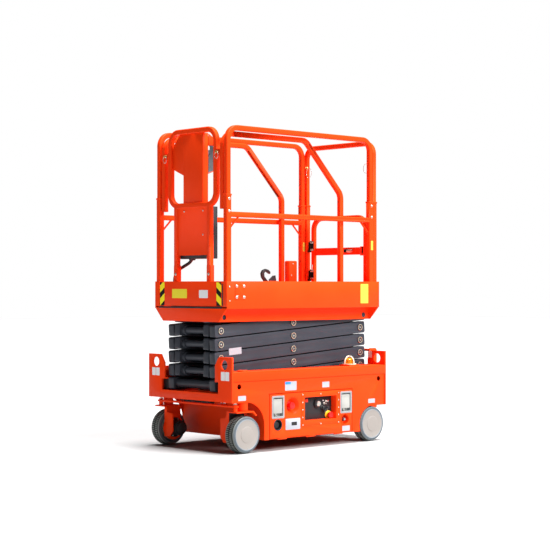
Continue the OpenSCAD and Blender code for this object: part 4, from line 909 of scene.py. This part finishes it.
# Control box: a grey moulded case in an orange sheet tray, tilted towards the operator, with a guard
# over it. On top are a joystick, a stop button and a row of switches.
case_grey = mottled("case_grey", (0.050, 0.054, 0.062), (0.038, 0.041, 0.048), (0.45, 0.6), 600, 0.0003)
box_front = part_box("control_box")[1].x - middle_x
box_length = 0.150
box_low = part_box("control_box")[0].z + 0.004
box_tilt = 0.058
case_h = 0.108
control = dress("control_box", 0.0012, case_grey, orange_paint)
for face in control.data.polygons:
    back = box_front - (face.center.x - middle_x)
    tray_top = box_low + box_tilt * back / box_length
    in_tray = face.center.z < tray_top - 0.0003
    on_gusset = abs(face.center.y) > 0.0955
    over_guard = face.center.z > 1.9255
    face.material_index = 1 if in_tray or on_gusset or over_guard else 0
slope = math.atan2(box_tilt, box_length)
case_normal = Vector((math.sin(slope), 0, math.cos(slope)))


def on_desk(back, left):
    desk_up = box_low + case_h + box_tilt * back / box_length
    return facing(at(box_front - back, left, desk_up), case_normal, (1, 0, 0))


desk = [on_desk(0.105, left) for left in (-0.060, -0.030, 0.0)]
switch = turned("desk_switch", [(0.009, 0), (0.009, 0.004), (0.006, 0.006), (0.003, 0.007), (0.004, 0.020),
                                (0.002, 0.022)], 16)
fit(scatter(switch, "desk_switches", desk), "extension", "black_plastic", nylon)
stick = turned("joystick", [(0.022, 0), (0.020, 0.006), (0.010, 0.018), (0.006, 0.020), (0.006, 0.038),
                            (0.012, 0.042), (0.013, 0.058), (0.010, 0.066), (0.004, 0.067)], 28)
stick_sunk = 0.001
stick.data.transform(Matrix.Translation(-stick_sunk * case_normal) @ on_desk(0.075, 0.055))
fit(stick, "extension", "black_plastic", nylon)
desk_stop = turned("desk_stop", [(0.010, 0), (0.010, 0.010), (0.017, 0.012), (0.018, 0.019), (0.014, 0.023),
                                 (0.005, 0.024)], 28)
desk_stop.data.transform(on_desk(0.045, -0.045))
fit(desk_stop, "extension", "black_plastic", stop_red)

# Document box: a black moulded plastic tub with a folded rim, open at the top.
# It is screwed to the back of the lower panel.
dress("manual_box", 0.004, nylon)

# Control cable: a stiff cable in a black rubber sheath, out of a collar under the document box.
# It leans to the right behind the loop's post, turns down and goes straight into its gland on the deck.
sheath = mottled("sheath", (0.018, 0.018, 0.020), (0.011, 0.011, 0.013), (0.5, 0.65), 700, 0.0002)
cable_route = (
    (0, 0), (0.085, 0.052), (0.149, 0.085), (0.222, 0.11), (0.385, 0.154), (0.547, 0.198), (0.71, 0.243),
    (0.807, 0.279), (0.889, 0.33), (0.95, 0.391), (0.989, 0.461), (1, 0.535), (1, 0.654), (1, 0.769),
    (1, 0.885), (1, 1),
)
cable_start = Vector((gland_spot.x, cable_high.y - cable_r, cable_high.z))
cable_line = bpy.data.curves.new("control_cable_sheath", "CURVE")
cable_line.dimensions = "3D"
cable_line.bevel_depth = cable_r
cable_line.bevel_resolution = 4
cable_line.resolution_u = 6
cable_line.use_fill_caps = True
strand = cable_line.splines.new("BEZIER")
strand.bezier_points.add(len(cable_route) - 1)
for knot, (across, down) in zip(strand.bezier_points, cable_route):
    knot.co = (gland_spot.x, cable_start.y + across * (gland_spot.y - cable_start.y),
               cable_start.z + down * (gland_spot.z - cable_start.z))
    knot.handle_left_type = "AUTO"
    knot.handle_right_type = "AUTO"
cable = bpy.data.objects.new("control_cable_sheath", cable_line)
bpy.context.scene.collection.objects.link(cable)
fit(cable, "extension", "cable_sheath", sheath)
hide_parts("control_cable")
collar = turned("cable_collar", [(0.021, -0.001), (0.021, 0.004), (0.019, 0.007), (0.015, 0.0085)], 28)
collar.data.transform(facing(cable_start, (0, 0, -1), (1, 0, 0)))
fit(collar, "extension", "black_plastic", nylon)

# Lock lever: a hooked black plastic handle on a black block, which unlocks the extension deck.
# The block sits on an orange steel post that stands on the deck.
lever = dress("lock_lever", 0.002, orange_paint, nylon)
lever_post_h = 0.1435
lever_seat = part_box("lock_lever")[0].z + lever_post_h
for face in lever.data.polygons:
    face.material_index = 1 if face.center.z > lever_seat else 0

# Entry gate: a bent tube frame with a flat bar and a kick plate, orange, on two black spring hinges.
# A zinc latch bolt with a black grip slides along the bar, and the free stile has a slotted latch plate.
gate = dress("gate_frame", 0, orange_paint, zinc)
gate_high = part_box("gate_frame")[1]
for face in gate.data.polygons:
    on_bolt = face.center.y > gate_high.y - 0.030 and 1.24 < face.center.z < 1.29
    face.material_index = 1 if on_bolt else 0
hinge_black = mottled("hinge_black", (0.012, 0.012, 0.013), (0.008, 0.008, 0.009), (0.5, 0.65), 600, 0.0002,
                      specular=0.08)
dress("gate_hinges", 0.0015, hinge_black)
hinge_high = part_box("gate_hinges")[1]
hinge_bolts = []
for hinge_up in (1.103, 1.303):
    for left in (hinge_high.y - 0.007, hinge_high.y - 0.022):
        for rise in (-0.025, 0.025):
            hinge_bolts.append(facing(Vector((hinge_high.x, left, hinge_up + rise)), (1, 0, 0)))
fit(scatter(hex_bolt("hinge_bolt", 0.007), "hinge_bolts", hinge_bolts), "gate", "latch_steel", zinc)
spring_rod = turned("spring_rod", [(0.004, 0), (0.004, 0.036), (0.003, 0.038)], 12)
spring_rod.data.transform(Matrix.Translation(Vector((hinge_high.x - 0.003, hinge_high.y - 0.014, 1.136))))
fit(spring_rod, "gate", "latch_steel", zinc)
bar_face = (gate_high.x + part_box("gate_frame")[0].x) / 2 - middle_x + 0.004
bolt_start = at(bar_face + 0.010, 0.064, 1.264)
latch_grip = turned("latch_grip", [(0.009, 0), (0.011, 0.002), (0.011, 0.024), (0.009, 0.026)], 24)
latch_grip.data.transform(facing(bolt_start, (0, 1, 0)))
fit(latch_grip, "gate", "black_plastic", hinge_black)
latch_barrel = turned("latch_barrel", [(0.0095, 0.026), (0.0095, 0.066), (0.008, 0.070), (0.004, 0.070)], 24)
latch_barrel.data.transform(facing(bolt_start, (0, 1, 0)))
fit(latch_barrel, "gate", "latch_steel", zinc)
gate_face = gate_high.x - middle_x
latch_thick = 0.003
latch_plate = plate("latch_plate", 0.062, 0.062, latch_thick, 0.004,
                    facing(at(gate_face, 0.245, 1.262), (1, 0, 0)))
soften(latch_plate, 0.0008)
fit(latch_plate, "gate", "orange_paint", orange_paint)
latch_slot = plate("latch_slot", 0.012, 0.046, film, 0.003,
                   facing(at(gate_face + latch_thick, 0.236, 1.266), (1, 0, 0)))
fit(latch_slot, "gate", "black_plastic", hinge_black)
